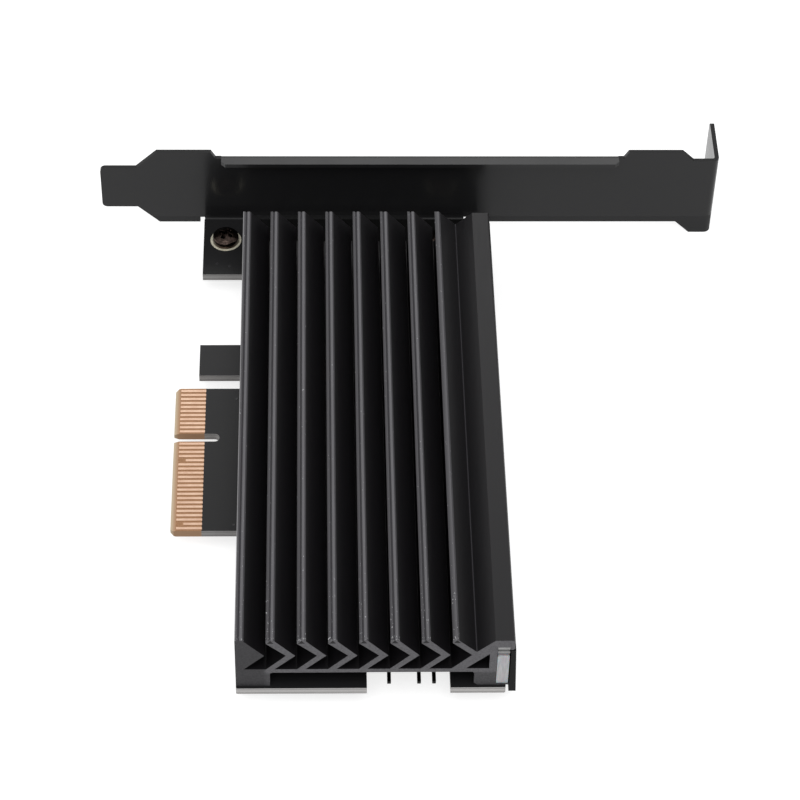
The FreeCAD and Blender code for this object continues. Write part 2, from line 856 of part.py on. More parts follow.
def bulk_capacitors():
    middles = [power_x + power_spacing + k * bulk_pitch for k in range(bulk_count)]
    return Part.makeCompound([under_board(x, power_y, bulk_size) for x in middles])


def chip_capacitors():
    middles = [tongue_front + (k + 1) * chip_pitch for k in range(chip_count)]
    return Part.makeCompound([under_board(chip_row_x, y, capacitor_size) for y in middles])


def chip_resistors():
    row_y = power_y + power_spacing
    middles = [power_x + power_spacing + k * chip_pitch for k in range(resistor_count)]
    return Part.makeCompound([under_board(x, row_y, resistor_size) for x in middles])


PARTS = [
    circuit_board, edge_contacts_front, edge_contacts_back, screw_pads, io_bracket, bracket_screws,
    heatsink, heatsink_screws, thermal_pad, light_bar, diffuser_film, led_strip_board, strip_leds,
    strip_lead, side_cover, header_body, header_pins, m2_socket_housing, m2_socket_contacts,
    m2_standoff, m2_screw, voltage_regulator, power_inductor, bulk_capacitors, chip_capacitors,
    chip_resistors,
]

os.makedirs("parts", exist_ok=True)
for make in PARTS:
    shape = make()
    shape.exportStep("parts/" + make.__name__ + ".step")
    print(make.__name__, len(shape.Solids), shape.isValid(), round(shape.Volume, 2), shape.BoundBox)
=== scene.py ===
import functools
import math
import bmesh
import bpy
import numpy as np
from mathutils import Matrix, Vector


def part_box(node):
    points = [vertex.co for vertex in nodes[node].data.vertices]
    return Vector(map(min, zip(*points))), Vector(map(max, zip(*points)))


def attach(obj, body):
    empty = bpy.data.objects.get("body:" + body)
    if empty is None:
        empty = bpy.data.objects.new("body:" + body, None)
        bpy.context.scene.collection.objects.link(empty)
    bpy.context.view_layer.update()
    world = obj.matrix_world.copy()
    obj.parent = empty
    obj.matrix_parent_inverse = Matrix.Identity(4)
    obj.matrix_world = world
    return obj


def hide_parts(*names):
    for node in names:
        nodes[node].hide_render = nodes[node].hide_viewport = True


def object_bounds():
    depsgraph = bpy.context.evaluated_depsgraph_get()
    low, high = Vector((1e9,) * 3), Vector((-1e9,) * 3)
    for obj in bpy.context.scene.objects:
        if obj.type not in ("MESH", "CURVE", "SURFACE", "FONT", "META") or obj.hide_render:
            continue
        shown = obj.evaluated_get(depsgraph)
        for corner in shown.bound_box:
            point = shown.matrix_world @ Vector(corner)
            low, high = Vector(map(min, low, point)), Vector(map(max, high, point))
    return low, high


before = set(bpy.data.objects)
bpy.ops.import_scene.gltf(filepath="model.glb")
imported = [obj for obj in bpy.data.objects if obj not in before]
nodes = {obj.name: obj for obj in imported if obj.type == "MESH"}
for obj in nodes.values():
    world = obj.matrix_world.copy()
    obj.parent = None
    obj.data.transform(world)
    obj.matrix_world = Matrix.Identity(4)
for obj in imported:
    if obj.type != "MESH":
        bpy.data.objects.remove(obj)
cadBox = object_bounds()
mm = 0.001
print("stage 1: frame loaded,", len(nodes), "parts")


def boxMm(node):
    # lowest and highest corner of a CAD part, in millimetres
    low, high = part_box(node)
    return np.array(low) / mm, np.array(high) / mm


def srgb(hexColour):
    # each channel of the hex value, undone from the display curve to linear light
    values = [int(hexColour[i:i + 2], 16) / 255 for i in (1, 3, 5)]
    linear = [v / 12.92 if v <= 0.04045 else ((v + 0.055) / 1.055) ** 2.4 for v in values]
    return (*linear, 1.0)


def addNode(tree, kind, inputs=None, **settings):
    # an input, by name or number, is linked if it gets a socket and set if it gets a value; gives the outputs
    node = tree.nodes.new("ShaderNode" + kind)
    for name, value in settings.items():
        setattr(node, name, value)
    for name, value in (inputs or {}).items():
        if isinstance(value, bpy.types.NodeSocket):
            tree.links.new(value, node.inputs[name])
        else:
            node.inputs[name].default_value = value
    return node.outputs


def startMaterial(name):
    # an empty material, its node adder, the point in millimetres and the face's direction
    material = bpy.data.materials.new(name)
    material.use_nodes = True
    material.node_tree.nodes.clear()
    add = functools.partial(addNode, material.node_tree)
    coords = add("TexCoord")
    point = add("VectorMath", {0: coords["Object"], "Scale": 1 / mm}, operation="SCALE")[0]
    return material, add, point, coords["Normal"]


def grain(add, point, sizeMm, stretch=(1, 1, 1), detail=3.0, rough=0.55):
    # noise whose lumps are about sizeMm across, drawn out along an axis by stretch
    scale = tuple(1 / (sizeMm * s) for s in stretch)
    mapped = add("Mapping", {"Vector": point, "Scale": scale})[0]
    return add("TexNoise", {"Vector": mapped, "Scale": 1.0, "Detail": detail, "Roughness": rough})[0]


def limits(pair, start=0.0):
    # the From limits of a MapRange node, for a pair that is measured from start
    return {1: start + pair[0], 2: start + pair[1]}


def span(pair):
    # and its To limits
    return {3: pair[0], 4: pair[1]}


wideNoise = (0.3, 0.7)  # nearly all of a noise's values lie in here
midNoise = (0.35, 0.65)  # and most of them in here


def layered(add, ground, *layers):
    # colours laid over a ground in turn, each with its share; a colour is a hex value or a socket
    paints = [srgb(c) if isinstance(c, str) else c for c in (ground, *(c for _, c in layers))]
    colour = paints[0]
    for (share, _), paint in zip(layers, paints[1:]):
        colour = add("Mix", {0: share, 6: colour, 7: paint}, data_type="RGBA")[2]
    return colour


def awayFrom(add, value, middle):
    # how far a value lies from a middle one, to either side
    away = add("Math", {0: value, 1: middle}, operation="SUBTRACT")[0]
    return add("Math", {0: away}, operation="ABSOLUTE")[0]


def finishMaterial(material, add, relief, strength, depthMm, sockets):
    # the relief as bump, one shader with these inputs, and the output
    bump = add("Bump", {"Height": relief, "Strength": strength, "Distance": depthMm * mm})[0]
    shader = add("BsdfPrincipled", {**sockets, "Normal": bump})[0]
    add("OutputMaterial", {0: shader})
    return material


sinkLow, sinkHigh = boxMm("heatsink")
boardLow, boardHigh = boxMm("circuit_board")

camera = {
    "place": (25.348, -345.215, 390.330),  # mm
    "heading": 2.604,  # degrees, clockwise from straight along the card
    "dip": 47.677,
    "roll": 1.800,
    "lens": 128.096,  # mm
    "sensor": 36,  # mm wide
    "clipStart": 0.01,  # m
}


def makeCamera():
    heading, dip, roll = (math.radians(camera[k]) for k in ("heading", "dip", "roll"))
    ahead = Vector((math.sin(heading) * math.cos(dip), math.cos(heading) * math.cos(dip), -math.sin(dip)))
    right = Vector((math.cos(heading), -math.sin(heading), 0))
    up = right.cross(ahead)
    turn = Matrix((math.cos(roll) * right + math.sin(roll) * up,
                   math.cos(roll) * up - math.sin(roll) * right, -ahead)).transposed().to_4x4()
    data = bpy.data.cameras.new("card_camera")
    data.sensor_width = camera["sensor"]
    data.lens = camera["lens"]
    data.clip_start = camera["clipStart"]
    body = bpy.data.objects.new("card_camera", data)
    body.matrix_world = Matrix.Translation(Vector(camera["place"]) * mm) @ turn
    bpy.context.scene.collection.objects.link(body)
    bpy.context.scene.camera = body


studio = {
    "floor": "#B2B2B2",
    "floorRough": 0.9,
    "floorHalf": 3,  # m
    "floorDrop": 0.02,  # mm below the card's lowest point
    "floorGlow": 0.75,  # added for the lens and for mirrors, so that the floor reads white
    "shadeGlow": 0.05,  # what mirrors get of the floor right under the card
    "shadeX": ((-2, 1), (-1, 2)),  # mm from the heatsink's left and right sides, where that shade fades
    "shadeY": ((-1, 2), (0, 2)),  # mm from the board's near and far edges, the same
    "fibreMm": 0.6,
    "fibreDepthMm": 0.02,
    "room": 0.5,
    "lamps": {
        # name: place m, aim m, width m, height m, watts
        "key": ((0.02, -0.30, 0.62), (0.02, 0.0, 0.0), 0.60, 0.50, 3.0),
        "back": ((0.05, 0.62, 0.50), (0.04, 0.05, 0.0), 0.80, 0.20, 0.95),
        "left": ((-0.65, -0.05, 0.30), (0.02, 0.0, 0.0), 0.40, 0.40, 1.0),
    },
}


def seenDirectly(add):
    # 1 for rays that come from the lens, from a glossy surface or through a clear one
    path = add("LightPath")
    mirrored = add("Math", {0: path["Is Camera Ray"], 1: path["Is Glossy Ray"]}, operation="MAXIMUM")[0]
    return add("Math", {0: mirrored, 1: path["Is Transmission Ray"]}, operation="MAXIMUM")[0]


def whiteCard():
    # uncoated white card under the part: matt, with a faint fibre
    material, add, point, _ = startMaterial("uncoated_white_card")
    fibre = add("Bump", {
        "Height": grain(add, point, studio["fibreMm"]), "Distance": studio["fibreDepthMm"] * mm})[0]
    glow = add("MapRange", {0: seenDirectly(add), 3: 0.0, 4: studio["floorGlow"]})[0]
    # the floor right under the card lies in its shadow, so the card's own glossy faces mirror it dark
    x, y, _ = add("SeparateXYZ", {0: point})
    under = 1.0
    for place, low, high, (starts, ends) in ((x, sinkLow[0], sinkHigh[0], studio["shadeX"]),
                                             (y, boardLow[1], boardHigh[1], studio["shadeY"])):
        under = add("MapRange", {0: place, **limits(starts, low), 4: under})[0]
        under = add("MapRange", {0: place, **limits(ends, high), 3: under, 4: 0.0})[0]
    mirrored = add("Math", {0: add("LightPath")["Is Glossy Ray"], 1: under}, operation="MULTIPLY")[0]
    glow = add("MapRange", {0: mirrored, 3: glow, 4: studio["shadeGlow"]})[0]
    shader = add("BsdfPrincipled", {
        "Base Color": srgb(studio["floor"]), "Roughness": studio["floorRough"], "Normal": fibre,
        "Emission Color": (1, 1, 1, 1), "Emission Strength": glow})[0]
    add("OutputMaterial", {0: shader})
    return material


def makeStudio():
    world = bpy.data.worlds.new("white_room")
    bpy.context.scene.world = world
    world.use_nodes = True
    world.node_tree.nodes.clear()
    add = functools.partial(addNode, world.node_tree)
    strength = add("MapRange", {0: seenDirectly(add), 3: studio["room"], 4: 1.0})[0]
    room = add("Background", {"Color": (1, 1, 1, 1), "Strength": strength})[0]
    add("OutputWorld", {0: room})

    low, half = cadBox[0][2] - studio["floorDrop"] * mm, studio["floorHalf"]
    mesh = bpy.data.meshes.new("floor")
    mesh.from_pydata([(-half, -half, low), (half, -half, low), (half, half, low), (-half, half, low)],
                     [], [(0, 1, 2, 3)])
    mesh.materials.append(whiteCard())
    floor = bpy.data.objects.new("floor", mesh)
    bpy.context.scene.collection.objects.link(floor)

    for name, (place, aim, width, height, watts) in studio["lamps"].items():
        data = bpy.data.lights.new(name, "AREA")
        data.shape = "RECTANGLE"
        data.size, data.size_y, data.energy = width, height, watts
        lamp = bpy.data.objects.new(name, data)
        lamp.location = place
        lamp.rotation_euler = (Vector(aim) - Vector(place)).to_track_quat("-Z", "Y").to_euler()
        bpy.context.scene.collection.objects.link(lamp)


makeCamera()
makeStudio()
print("stage 2: camera, floor and lamps")


anodised = {
    "body": "#100F11",  # deep black dye in the oxide layer
    "rough": (0.34, 0.46),
    "specular": 0.25,
    "drawLineMm": 0.12,  # spacing of the draw lines, coarser than the real 0.03 mm so that they show
    "lineDepthMm": 0.010,
    "lineStrength": 0.7,
    "softMm": 0.1,  # width of an edge between two looks
    # tops of the fins: painted highlights where their rounded edges catch the light
    "finTop": "#5C5B5E",  # right part, the brighter painted highlight
    "finTopLeft": "#38373A",  # left part, up to the groove, a dimmer painted highlight
    "groove": "#48474A",
    "finPitch": 5.2,  # mm
    "grooveFrom": 0.42,  # mm from a top's left edge
    "grooveFade": (-0.25, 0.45),  # mm from there, in which the left colour gives way to the right one
    "topHeight": (-0.32, -0.25),  # mm from the highest point, in which the tops' look sets in
    "topTilt": (0.25, 0.4),  # the same by how far a face looks up
    "flatTilt": (0.9, 0.99),  # the same for the flats beside the groove
    "railLeft": 55.7,  # mm, the fins end here
    "topSheen": (0.84, 1.0),  # share of the tops' painted highlight between the draw lines and on them
    "arris": "#8A898B",  # painted highlight along the outer edge
    "arrisEnd": (0.13, 0.18),  # mm from that edge
    "arrisShare": 0.8,
    "spark": "#A6A6A8",  # painted glints on the fin tops
    "sparkMm": 0.22,
    "sparkFrom": 0.74,  # noise level above which a painted glint shows, away from the sawn ends
    "sparkNear": 0.69,  # the same near them
    "sparkReach": (1.2, 22.0),  # mm from the sawn ends, in which the second gives way to the first
    "sparkTip": 0.60,  # the same at the very tips
    "sparkTipEnd": (0.5, 1.0),  # mm from the sawn ends, in which those end
    # painted highlight: grey line in the valley where the last fin meets the rail
    "valley": "#3A393C",
    "valleyX": 52.71,  # mm from the tip
    "valleyHalf": (0.05, 0.13),  # mm from its middle, in which it ends
    "valleyZ": (9.2, 9.6),  # mm, in which it starts
    # sawn ends: the saw's grit, lightened by a painted sheen
    "sawnEnd": "#69686B",
    "endTilt": (0.6, 0.8),  # how far along the card a face looks
    "endRough": 0.62,
    "sawGritMm": 0.3,  # coarser than the real 0.1 mm so that it shows
    "speckle": (0.62, 1.12),  # share of the sawn look in the grit's pits and on its peaks
    "leftEnd": 0.30,  # share of it on the solid left side
    "leftEndFade": (4.6, 5.4),  # mm from the left side, in which that ends
    "lowEnd": 0.5,  # share of it on the feet, lower down: painted shade near the floor
    "lowFade": (4.1, 4.5),  # mm, in which that ends
    "rearEnd": 0.4,  # share of it on the end near the bracket
    "rearTilt": (-0.1, 0.1),
    # painted shade in the mouths of the small grooves: triangles with the point up
    "mouthZ": (-0.86, -0.10),  # mm from the highest point, of a mouth's foot and its point
    "mouthHalf": 0.58,  # mm, half its width at the foot
    "mouthMiddle": 0.75,  # mm from the top's left edge
    "mouthSoft": 0.05,  # mm
    "mouthFrom": 2.0,  # mm from the heatsink's left side, so the first fin has none
    "mouthTo": 54.2,  # mm from the tip
}


def anodisedExtrusion():
    # 6063 aluminium, extruded, sawn to length and black anodised:
    # satin black with fine draw lines along the fins, painted highlights and glints on the tops, speckled
    # sawn ends under a painted sheen and painted shade in the groove mouths
    material, add, point, normal = startMaterial("black_anodised_extruded_aluminium")
    look = anodised
    softEdge = (0, look["softMm"])
    x, y, z = add("SeparateXYZ", {0: point})
    _, ny, nz = add("SeparateXYZ", {0: normal})
    lines = grain(add, point, look["drawLineMm"], stretch=(1, 60, 1), detail=4)
    grit = grain(add, point, look["sawGritMm"], detail=4, rough=0.7)
    glintNoise = grain(add, point, look["sparkMm"], stretch=(1, 2.5, 1), detail=2)

    # tops of the fins as painted highlights, in two tones beside the groove, with painted glints
    height = add("MapRange", {0: z, **limits(look["topHeight"], sinkHigh[2])})[0]
    facing = add("MapRange", {0: nz, **limits(look["topTilt"]), 4: height})[0]
    top = add("MapRange", {0: x, **limits(softEdge, look["railLeft"]), 3: facing, 4: 0.0})[0]
    flatTop = add("MapRange", {0: nz, **limits(look["flatTilt"])})[0]
    across = add("Math", {0: x, 1: sinkLow[0]}, operation="SUBTRACT")[0]
    fromLeft = add("Math", {0: across, 1: look["finPitch"]}, operation="MODULO")[0]
    right = add("MapRange", {0: fromLeft, **limits(look["grooveFade"], look["grooveFrom"])})[0]
    highlightTones = layered(add, look["finTopLeft"], (right, look["finTop"]))
    # painted highlight along the heatsink's outer left edge
    first = add("MapRange", {
        0: x, **limits(look["arrisEnd"], sinkLow[0]), 3: look["arrisShare"], 4: 0.0})[0]
    topColour = layered(add, look["groove"], (flatTop, highlightTones), (first, look["arris"]))
    # the painted highlight of the tops, broken up by the draw lines
    topSheen = add("MapRange", {0: lines, **limits(midNoise), **span(look["topSheen"])})[0]
    topSheen = add("Math", {0: topSheen, 1: top}, operation="MULTIPLY")[0]
    # painted glints, thicker towards the sawn ends
    far = add("MapRange", {
        0: y, **limits(look["sparkReach"], sinkLow[1]), 3: look["sparkNear"], 4: look["sparkFrom"]})[0]
    level = add("MapRange", {
        0: y, **limits(look["sparkTipEnd"], sinkLow[1]), 3: look["sparkTip"], 4: far})[0]
    glints = add("Math", {0: glintNoise, 1: level}, operation="GREATER_THAN")[0]
    glints = add("Math", {0: glints, 1: top}, operation="MULTIPLY")[0]

    # painted highlight along the valley line
    valley = awayFrom(add, x, look["valleyX"])
    valley = add("MapRange", {0: valley, **limits(look["valleyHalf"]), 3: 1.0, 4: 0.0})[0]
    valley = add("MapRange", {0: z, **limits(look["valleyZ"]), 4: valley})[0]

    # sawn ends: the grit under a painted sheen, full on the fins, weaker on the solid left side and on the
    # end near the bracket, and weaker low on the feet as painted shade
    along = add("Math", {0: ny}, operation="ABSOLUTE")[0]
    end = add("MapRange", {0: along, **limits(look["endTilt"])})[0]
    rear = add("MapRange", {0: ny, **limits(look["rearTilt"]), 3: 1.0, 4: look["rearEnd"]})[0]
    upper = add("MapRange", {0: z, **limits(look["lowFade"]), 3: look["lowEnd"], 4: 1.0})[0]
    inner = add("MapRange", {0: x, **limits(look["leftEndFade"], sinkLow[0]), 3: look["leftEnd"], 4: upper})[0]
    speckle = add("MapRange", {0: grit, **limits(midNoise), **span(look["speckle"])})[0]
    sawn = add("Math", {0: inner, 1: speckle}, operation="MULTIPLY")[0]
    sawn = add("Math", {0: sawn, 1: end}, operation="MULTIPLY")[0]
    sawn = add("Math", {0: sawn, 1: rear}, operation="MULTIPLY")[0]

    # painted shade in the groove mouths: triangles that narrow from the foot to the point
    wide = add("MapRange", {0: z, **limits(look["mouthZ"], sinkHigh[2]), 3: look["mouthHalf"], 4: 0.0})[0]
    aside = awayFrom(add, fromLeft, look["mouthMiddle"])
    mouth = add("Math", {0: aside, 1: wide}, operation="LESS_THAN")[0]
    foot = sinkHigh[2] + look["mouthZ"][0]
    mouth = add("MapRange", {0: z, **limits((-look["mouthSoft"], 0), foot), 4: mouth})[0]
    mouth = add("MapRange", {0: x, **limits(softEdge, sinkLow[0] + look["mouthFrom"]), 4: mouth})[0]
    mouth = add("MapRange", {0: x, **limits(softEdge, look["mouthTo"]), 3: mouth, 4: 0.0})[0]
    mouth = add("Math", {0: mouth, 1: end}, operation="MULTIPLY")[0]

    colour = layered(add, look["body"], (topSheen, topColour), (glints, look["spark"]), (valley, look["valley"]),
                     (sawn, look["sawnEnd"]), (mouth, look["body"]))
    rough = add("MapRange", {0: lines, **limits(wideNoise), **span(look["rough"])})[0]
    rough = add("MapRange", {0: end, 3: rough, 4: look["endRough"]})[0]
    relief = add("MapRange", {0: end, 3: lines, 4: grit})[0]
    return finishMaterial(material, add, relief, look["lineStrength"], look["lineDepthMm"], {
        "Base Color": colour, "Roughness": rough, "Specular IOR Level": look["specular"]})


steelCoat = {
    "colour": "#1D1D1E",
    "rough": (0.17, 0.24),
    "specular": 0.27,
    "cloudMm": 9.0,  # size of the patches that differ in gloss
    "peelMm": 0.5,
    "peelDepthMm": 0.004,
    "peelStrength": 0.35,
    "edge": "#060607",  # painted shade on the sheet's faces that look up or down, its sheared edges, against the lamps' highlight
    "edgeTilt": (0.3, 0.6),  # how far up or down such a face looks
    "sheetFrom": (1.85, 1.9),  # mm past the board, where the sheet starts and the folded tabs end
    "foldZ": (-0.3, 0.3),  # mm, the tabs lie below this
    "dullRough": 0.6,  # of the sheared edges and of the tabs, whose coat is stretched
}


def coatedSteel():
    # 0.86 mm steel sheet, punched, folded and coated in baked black powder:
    # smooth semi-gloss with a faint orange peel, and soft clear reflections of the room
    material, add, point, normal = startMaterial("baked_powder_coat_on_steel")
    look = steelCoat
    _, y, z = add("SeparateXYZ", {0: point})
    level = add("Math", {0: add("SeparateXYZ", {0: normal})[2]}, operation="ABSOLUTE")[0]
    # painted shade: the sheet's faces that look up or down are darkened
    edge = add("MapRange", {0: level, **limits(look["edgeTilt"])})[0]
    edge = add("MapRange", {0: y, **limits(look["sheetFrom"], boardHigh[1]), 4: edge})[0]
    colour = layered(add, look["colour"], (edge, look["edge"]))
    peel = grain(add, point, look["peelMm"], detail=2)
    cloud = grain(add, point, look["cloudMm"], detail=2)
    rough = add("MapRange", {0: cloud, **limits(wideNoise), **span(look["rough"])})[0]
    rough = add("MapRange", {0: z, **limits(look["foldZ"]), 3: look["dullRough"], 4: rough})[0]
    rough = add("MapRange", {0: edge, 3: rough, 4: look["dullRough"]})[0]
    return finishMaterial(material, add, peel, look["peelStrength"], look["peelDepthMm"], {
        "Base Color": colour, "Roughness": rough, "Specular IOR Level": look["specular"]})


contactHigh = boxMm("edge_contacts_front")[1]
laminate = {
    "specular": 0.19,
    "softMm": 0.1,  # width of an edge between two looks
    "faceTilt": (0.95, 0.99),  # how far up or down a face looks, for one that isn't cut
    "weaveMm": 0.45,  # pitch of the glass cloth
    "weaveBend": 0.6,
    "weaveShare": 0.5,
    "dustMm": 0.25,
    "reliefMm": 0.003,
    "reliefStrength": 0.5,
    # faces
    "mask": "#1B1B1C",
    "maskDust": "#272729",
    "maskRough": 0.34,
    "fleckNoise": (0.62, 0.75),  # noise levels between which a fleck of dust sets in
    "bare": "#A9805F",  # bare glass laminate between the contacts
    "bareShade": "#8F6746",
    "bareEnd": (-0.1, -0.05),  # mm from the contacts' inner ends, where the mask starts
    "tongue": (-22.3, 12.3),  # mm along the card
    "shaded": "#080808",  # painted shade on the strip behind the heatsink, by the bracket, made glossy too
    "shadedRough": 0.14,
    "shadedFrom": (-0.2, 0.0),  # mm from the heatsink's rear end
    "shadedFade": (0.0, 5.0),  # mm from its left side, in which the strip sets in
    # routed edges
    "cutEdge": "#CECCCB",
    "cutRough": 0.75,
    "cutLayer": "#706E6D",
    "layerAt": 0.42,  # mm from the board's middle to its inner copper
    "layerHalf": (0.03, 0.08),  # mm from its middle, in which it ends
    "coreEnd": (0.70, 0.76),  # mm from the board's middle, where the pale core gives way to copper and mask
    "cutDust": "#9F9D9B",
    "dustNoise": (0.35, 0.8),
    "dustShare": 0.5,
    "cutShade": "#3A3938",  # painted shade on the cut edge along the bracket
    "rearFade": (-0.1, -0.05),  # mm from that edge
    "leftDark": 0.42,  # share of that painted shade on the cut edges left of the heatsink
    "leftFade": (-0.3, 0.0),  # mm from the heatsink's left side
    "tip": "#AB8A6E",  # the connector's bevel
    "tipOuter": "#BDAC93",  # its outer part, rubbed pale
    "tipFade": (0.15, 0.7),  # mm from the tip, in which the second gives way to the first
}


def maskedLaminate():
    # FR-4, glass cloth in epoxy, pressed and routed, with a black solder mask:
    # semi-gloss faces with the cloth's faint ripple, bare tan between the contacts, pale layered edges
    material, add, point, normal = startMaterial("solder_masked_glass_laminate")
    look = laminate
    softEdge = (0, look["softMm"])
    x, y, z = add("SeparateXYZ", {0: point})
    nz = add("SeparateXYZ", {0: normal})[2]
    flat = add("MapRange", {
        0: add("Math", {0: nz}, operation="ABSOLUTE")[0], **limits(look["faceTilt"])})[0]
    # a wave node's bands lie pi / (10 scale) apart
    cloth = {"Vector": point, "Scale": math.pi / (10 * look["weaveMm"]), "Distortion": look["weaveBend"]}
    warp = add("TexWave", cloth, bands_direction="X")[1]
    weft = add("TexWave", cloth, bands_direction="Y")[1]
    weave = add("Math", {0: warp, 1: weft}, operation="ADD")[0]
    dust = grain(add, point, look["dustMm"], detail=5, rough=0.7)

    tongue = add("MapRange", {0: y, **limits(softEdge, look["tongue"][0])})[0]
    tongue = add("MapRange", {0: y, **limits(softEdge, look["tongue"][1]), 3: tongue, 4: 0.0})[0]
    bare = add("MapRange", {0: x, **limits(look["bareEnd"], contactHigh[0]), 3: tongue, 4: 0.0})[0]
    tone = add("MapRange", {0: dust, **limits(midNoise)})[0]
    bareColour = layered(add, look["bare"], (tone, look["bareShade"]))
    fleck = add("MapRange", {0: dust, **limits(look["fleckNoise"])})[0]
    # painted shade on the strip behind the heatsink
    behind = add("MapRange", {0: y, **limits(look["shadedFrom"], sinkHigh[1])})[0]
    behind = add("MapRange", {0: x, **limits(look["shadedFade"], sinkLow[0]), 4: behind})[0]
    faceColour = layered(add, look["mask"], (fleck, look["maskDust"]), (behind, look["shaded"]),
                         (bare, bareColour))

    # routed edges: pale core with its copper layers, the bevelled tip, and painted shade on the edge at the
    # bracket and on the edges left of the heatsink
    depth = add("Math", {0: z}, operation="ABSOLUTE")[0]
    layer = add("MapRange", {0: awayFrom(add, depth, look["layerAt"]), **limits(look["layerHalf"])})[0]
    core = add("MapRange", {0: depth, **limits(look["coreEnd"]), 3: layer, 4: 0.0})[0]
    rubbed = add("MapRange", {0: dust, **limits(look["dustNoise"]), 3: 0.0, 4: look["dustShare"]})[0]
    left = add("MapRange", {0: x, **limits(look["leftFade"], sinkLow[0]), 3: look["leftDark"], 4: 0.0})[0]
    inward = add("MapRange", {0: x, **limits(look["tipFade"])})[0]
    tip = layered(add, look["tipOuter"], (inward, look["tip"]))
    rear = add("MapRange", {0: y, **limits(look["rearFade"], boardHigh[1])})[0]
    colour = layered(add, look["cutLayer"], (core, look["cutEdge"]), (rubbed, look["cutDust"]),
                     (left, look["cutShade"]), (bare, tip), (rear, look["cutShade"]), (flat, faceColour))

    faceRough = add("MapRange", {0: behind, 3: look["maskRough"], 4: look["shadedRough"]})[0]
    rough = add("MapRange", {0: flat, 3: look["cutRough"], 4: faceRough})[0]
    relief = add("Math", {0: weave, 1: look["weaveShare"], 2: dust}, operation="MULTIPLY_ADD")[0]
    return finishMaterial(material, add, relief, look["reliefStrength"], look["reliefMm"], {
        "Base Color": colour, "Roughness": rough, "Specular IOR Level": look["specular"]})


gold = {
    "bright": "#CAAD97",
    "dull": "#BC9B85",
    "rough": (0.28, 0.42),
    "side": "#8F6B4F",  # flanks of a contact, darker towards its sides, where it turns down
    "pitchMm": 1.0,
    "sideFade": (0.17, 0.33),  # mm from a contact's middle
    "cloudMm": 1.5,
    "rubMm": 0.06,
    "rubDepthMm": 0.002,
    "rubStrength": 0.4,
}


def goldContact():
    # hard gold, electroplated over nickel on copper:
    # warm and bright, slightly satin, with fine rub lines from being pushed into its slot
    material, add, point, _ = startMaterial("electroplated_hard_gold")
    rub = grain(add, point, gold["rubMm"], stretch=(30, 1, 1))
    cloud = add("MapRange", {0: grain(add, point, gold["cloudMm"]), **limits(wideNoise)})[0]
    y = add("SeparateXYZ", {0: point})[1]
    away = add("Math", {0: y, 1: gold["pitchMm"] / 2}, operation="PINGPONG")[0]
    away = add("Math", {0: gold["pitchMm"] / 2, 1: away}, operation="SUBTRACT")[0]
    flank = add("MapRange", {0: away, **limits(gold["sideFade"])})[0]
    colour = layered(add, gold["bright"], (cloud, gold["dull"]), (flank, gold["side"]))
    rough = add("MapRange", {0: rub, **limits(wideNoise), **span(gold["rough"])})[0]
    return finishMaterial(material, add, rub, gold["rubStrength"], gold["rubDepthMm"], {
        "Base Color": colour, "Metallic": 1.0, "Roughness": rough})


padLow, padHigh = boxMm("screw_pads")
screwPad = {
    "tin": "#F2EDD8",
    "headShadow": "#5E4C2C",  # painted shadow of the screw's head on the pad, inside the tin rim
    "metallic": 0.6,
    "rough": 0.4,
    "radius": (padHigh[1] - padLow[1]) / 2,
    "rimMm": 0.42,
    "rimFade": (-0.12, 0.02),  # mm from the rim's inner edge
    "patchy": (0.6, 1.0),  # share of tin in the grain's pits and on its peaks
    "patchyNoise": (0.3, 0.5),
    "grainMm": 0.3,
    "grainDepthMm": 0.01,
    "grainStrength": 0.5,
}


def tinnedPad():
    # copper ring, dipped in tin: pale bright rim, with a painted shadow of the screw's head towards the screw
    material, add, point, _ = startMaterial("hot_dipped_tin_on_copper")
    look = screwPad
    x, y, _ = add("SeparateXYZ", {0: point})
    middle = (padLow + padHigh) / 2
    spread = padHigh[0] - look["radius"] - middle[0]
    across = add("Math", {0: awayFrom(add, x, middle[0]), 1: spread}, operation="SUBTRACT")[0]
    along = add("Math", {0: y, 1: middle[1]}, operation="SUBTRACT")[0]
    flat = add("CombineXYZ", {0: across, 1: along})[0]
    radius = add("VectorMath", {0: flat}, operation="LENGTH")[1]
    pattern = grain(add, point, look["grainMm"])
    rim = add("MapRange", {0: radius, **limits(look["rimFade"], look["radius"] - look["rimMm"])})[0]
    patches = add("MapRange", {0: pattern, **limits(look["patchyNoise"]), **span(look["patchy"])})[0]
    rim = add("Math", {0: rim, 1: patches}, operation="MULTIPLY")[0]
    colour = layered(add, look["headShadow"], (rim, look["tin"]))
    return finishMaterial(material, add, pattern, look["grainStrength"], look["grainDepthMm"], {
        "Base Color": colour, "Metallic": look["metallic"], "Roughness": look["rough"]})


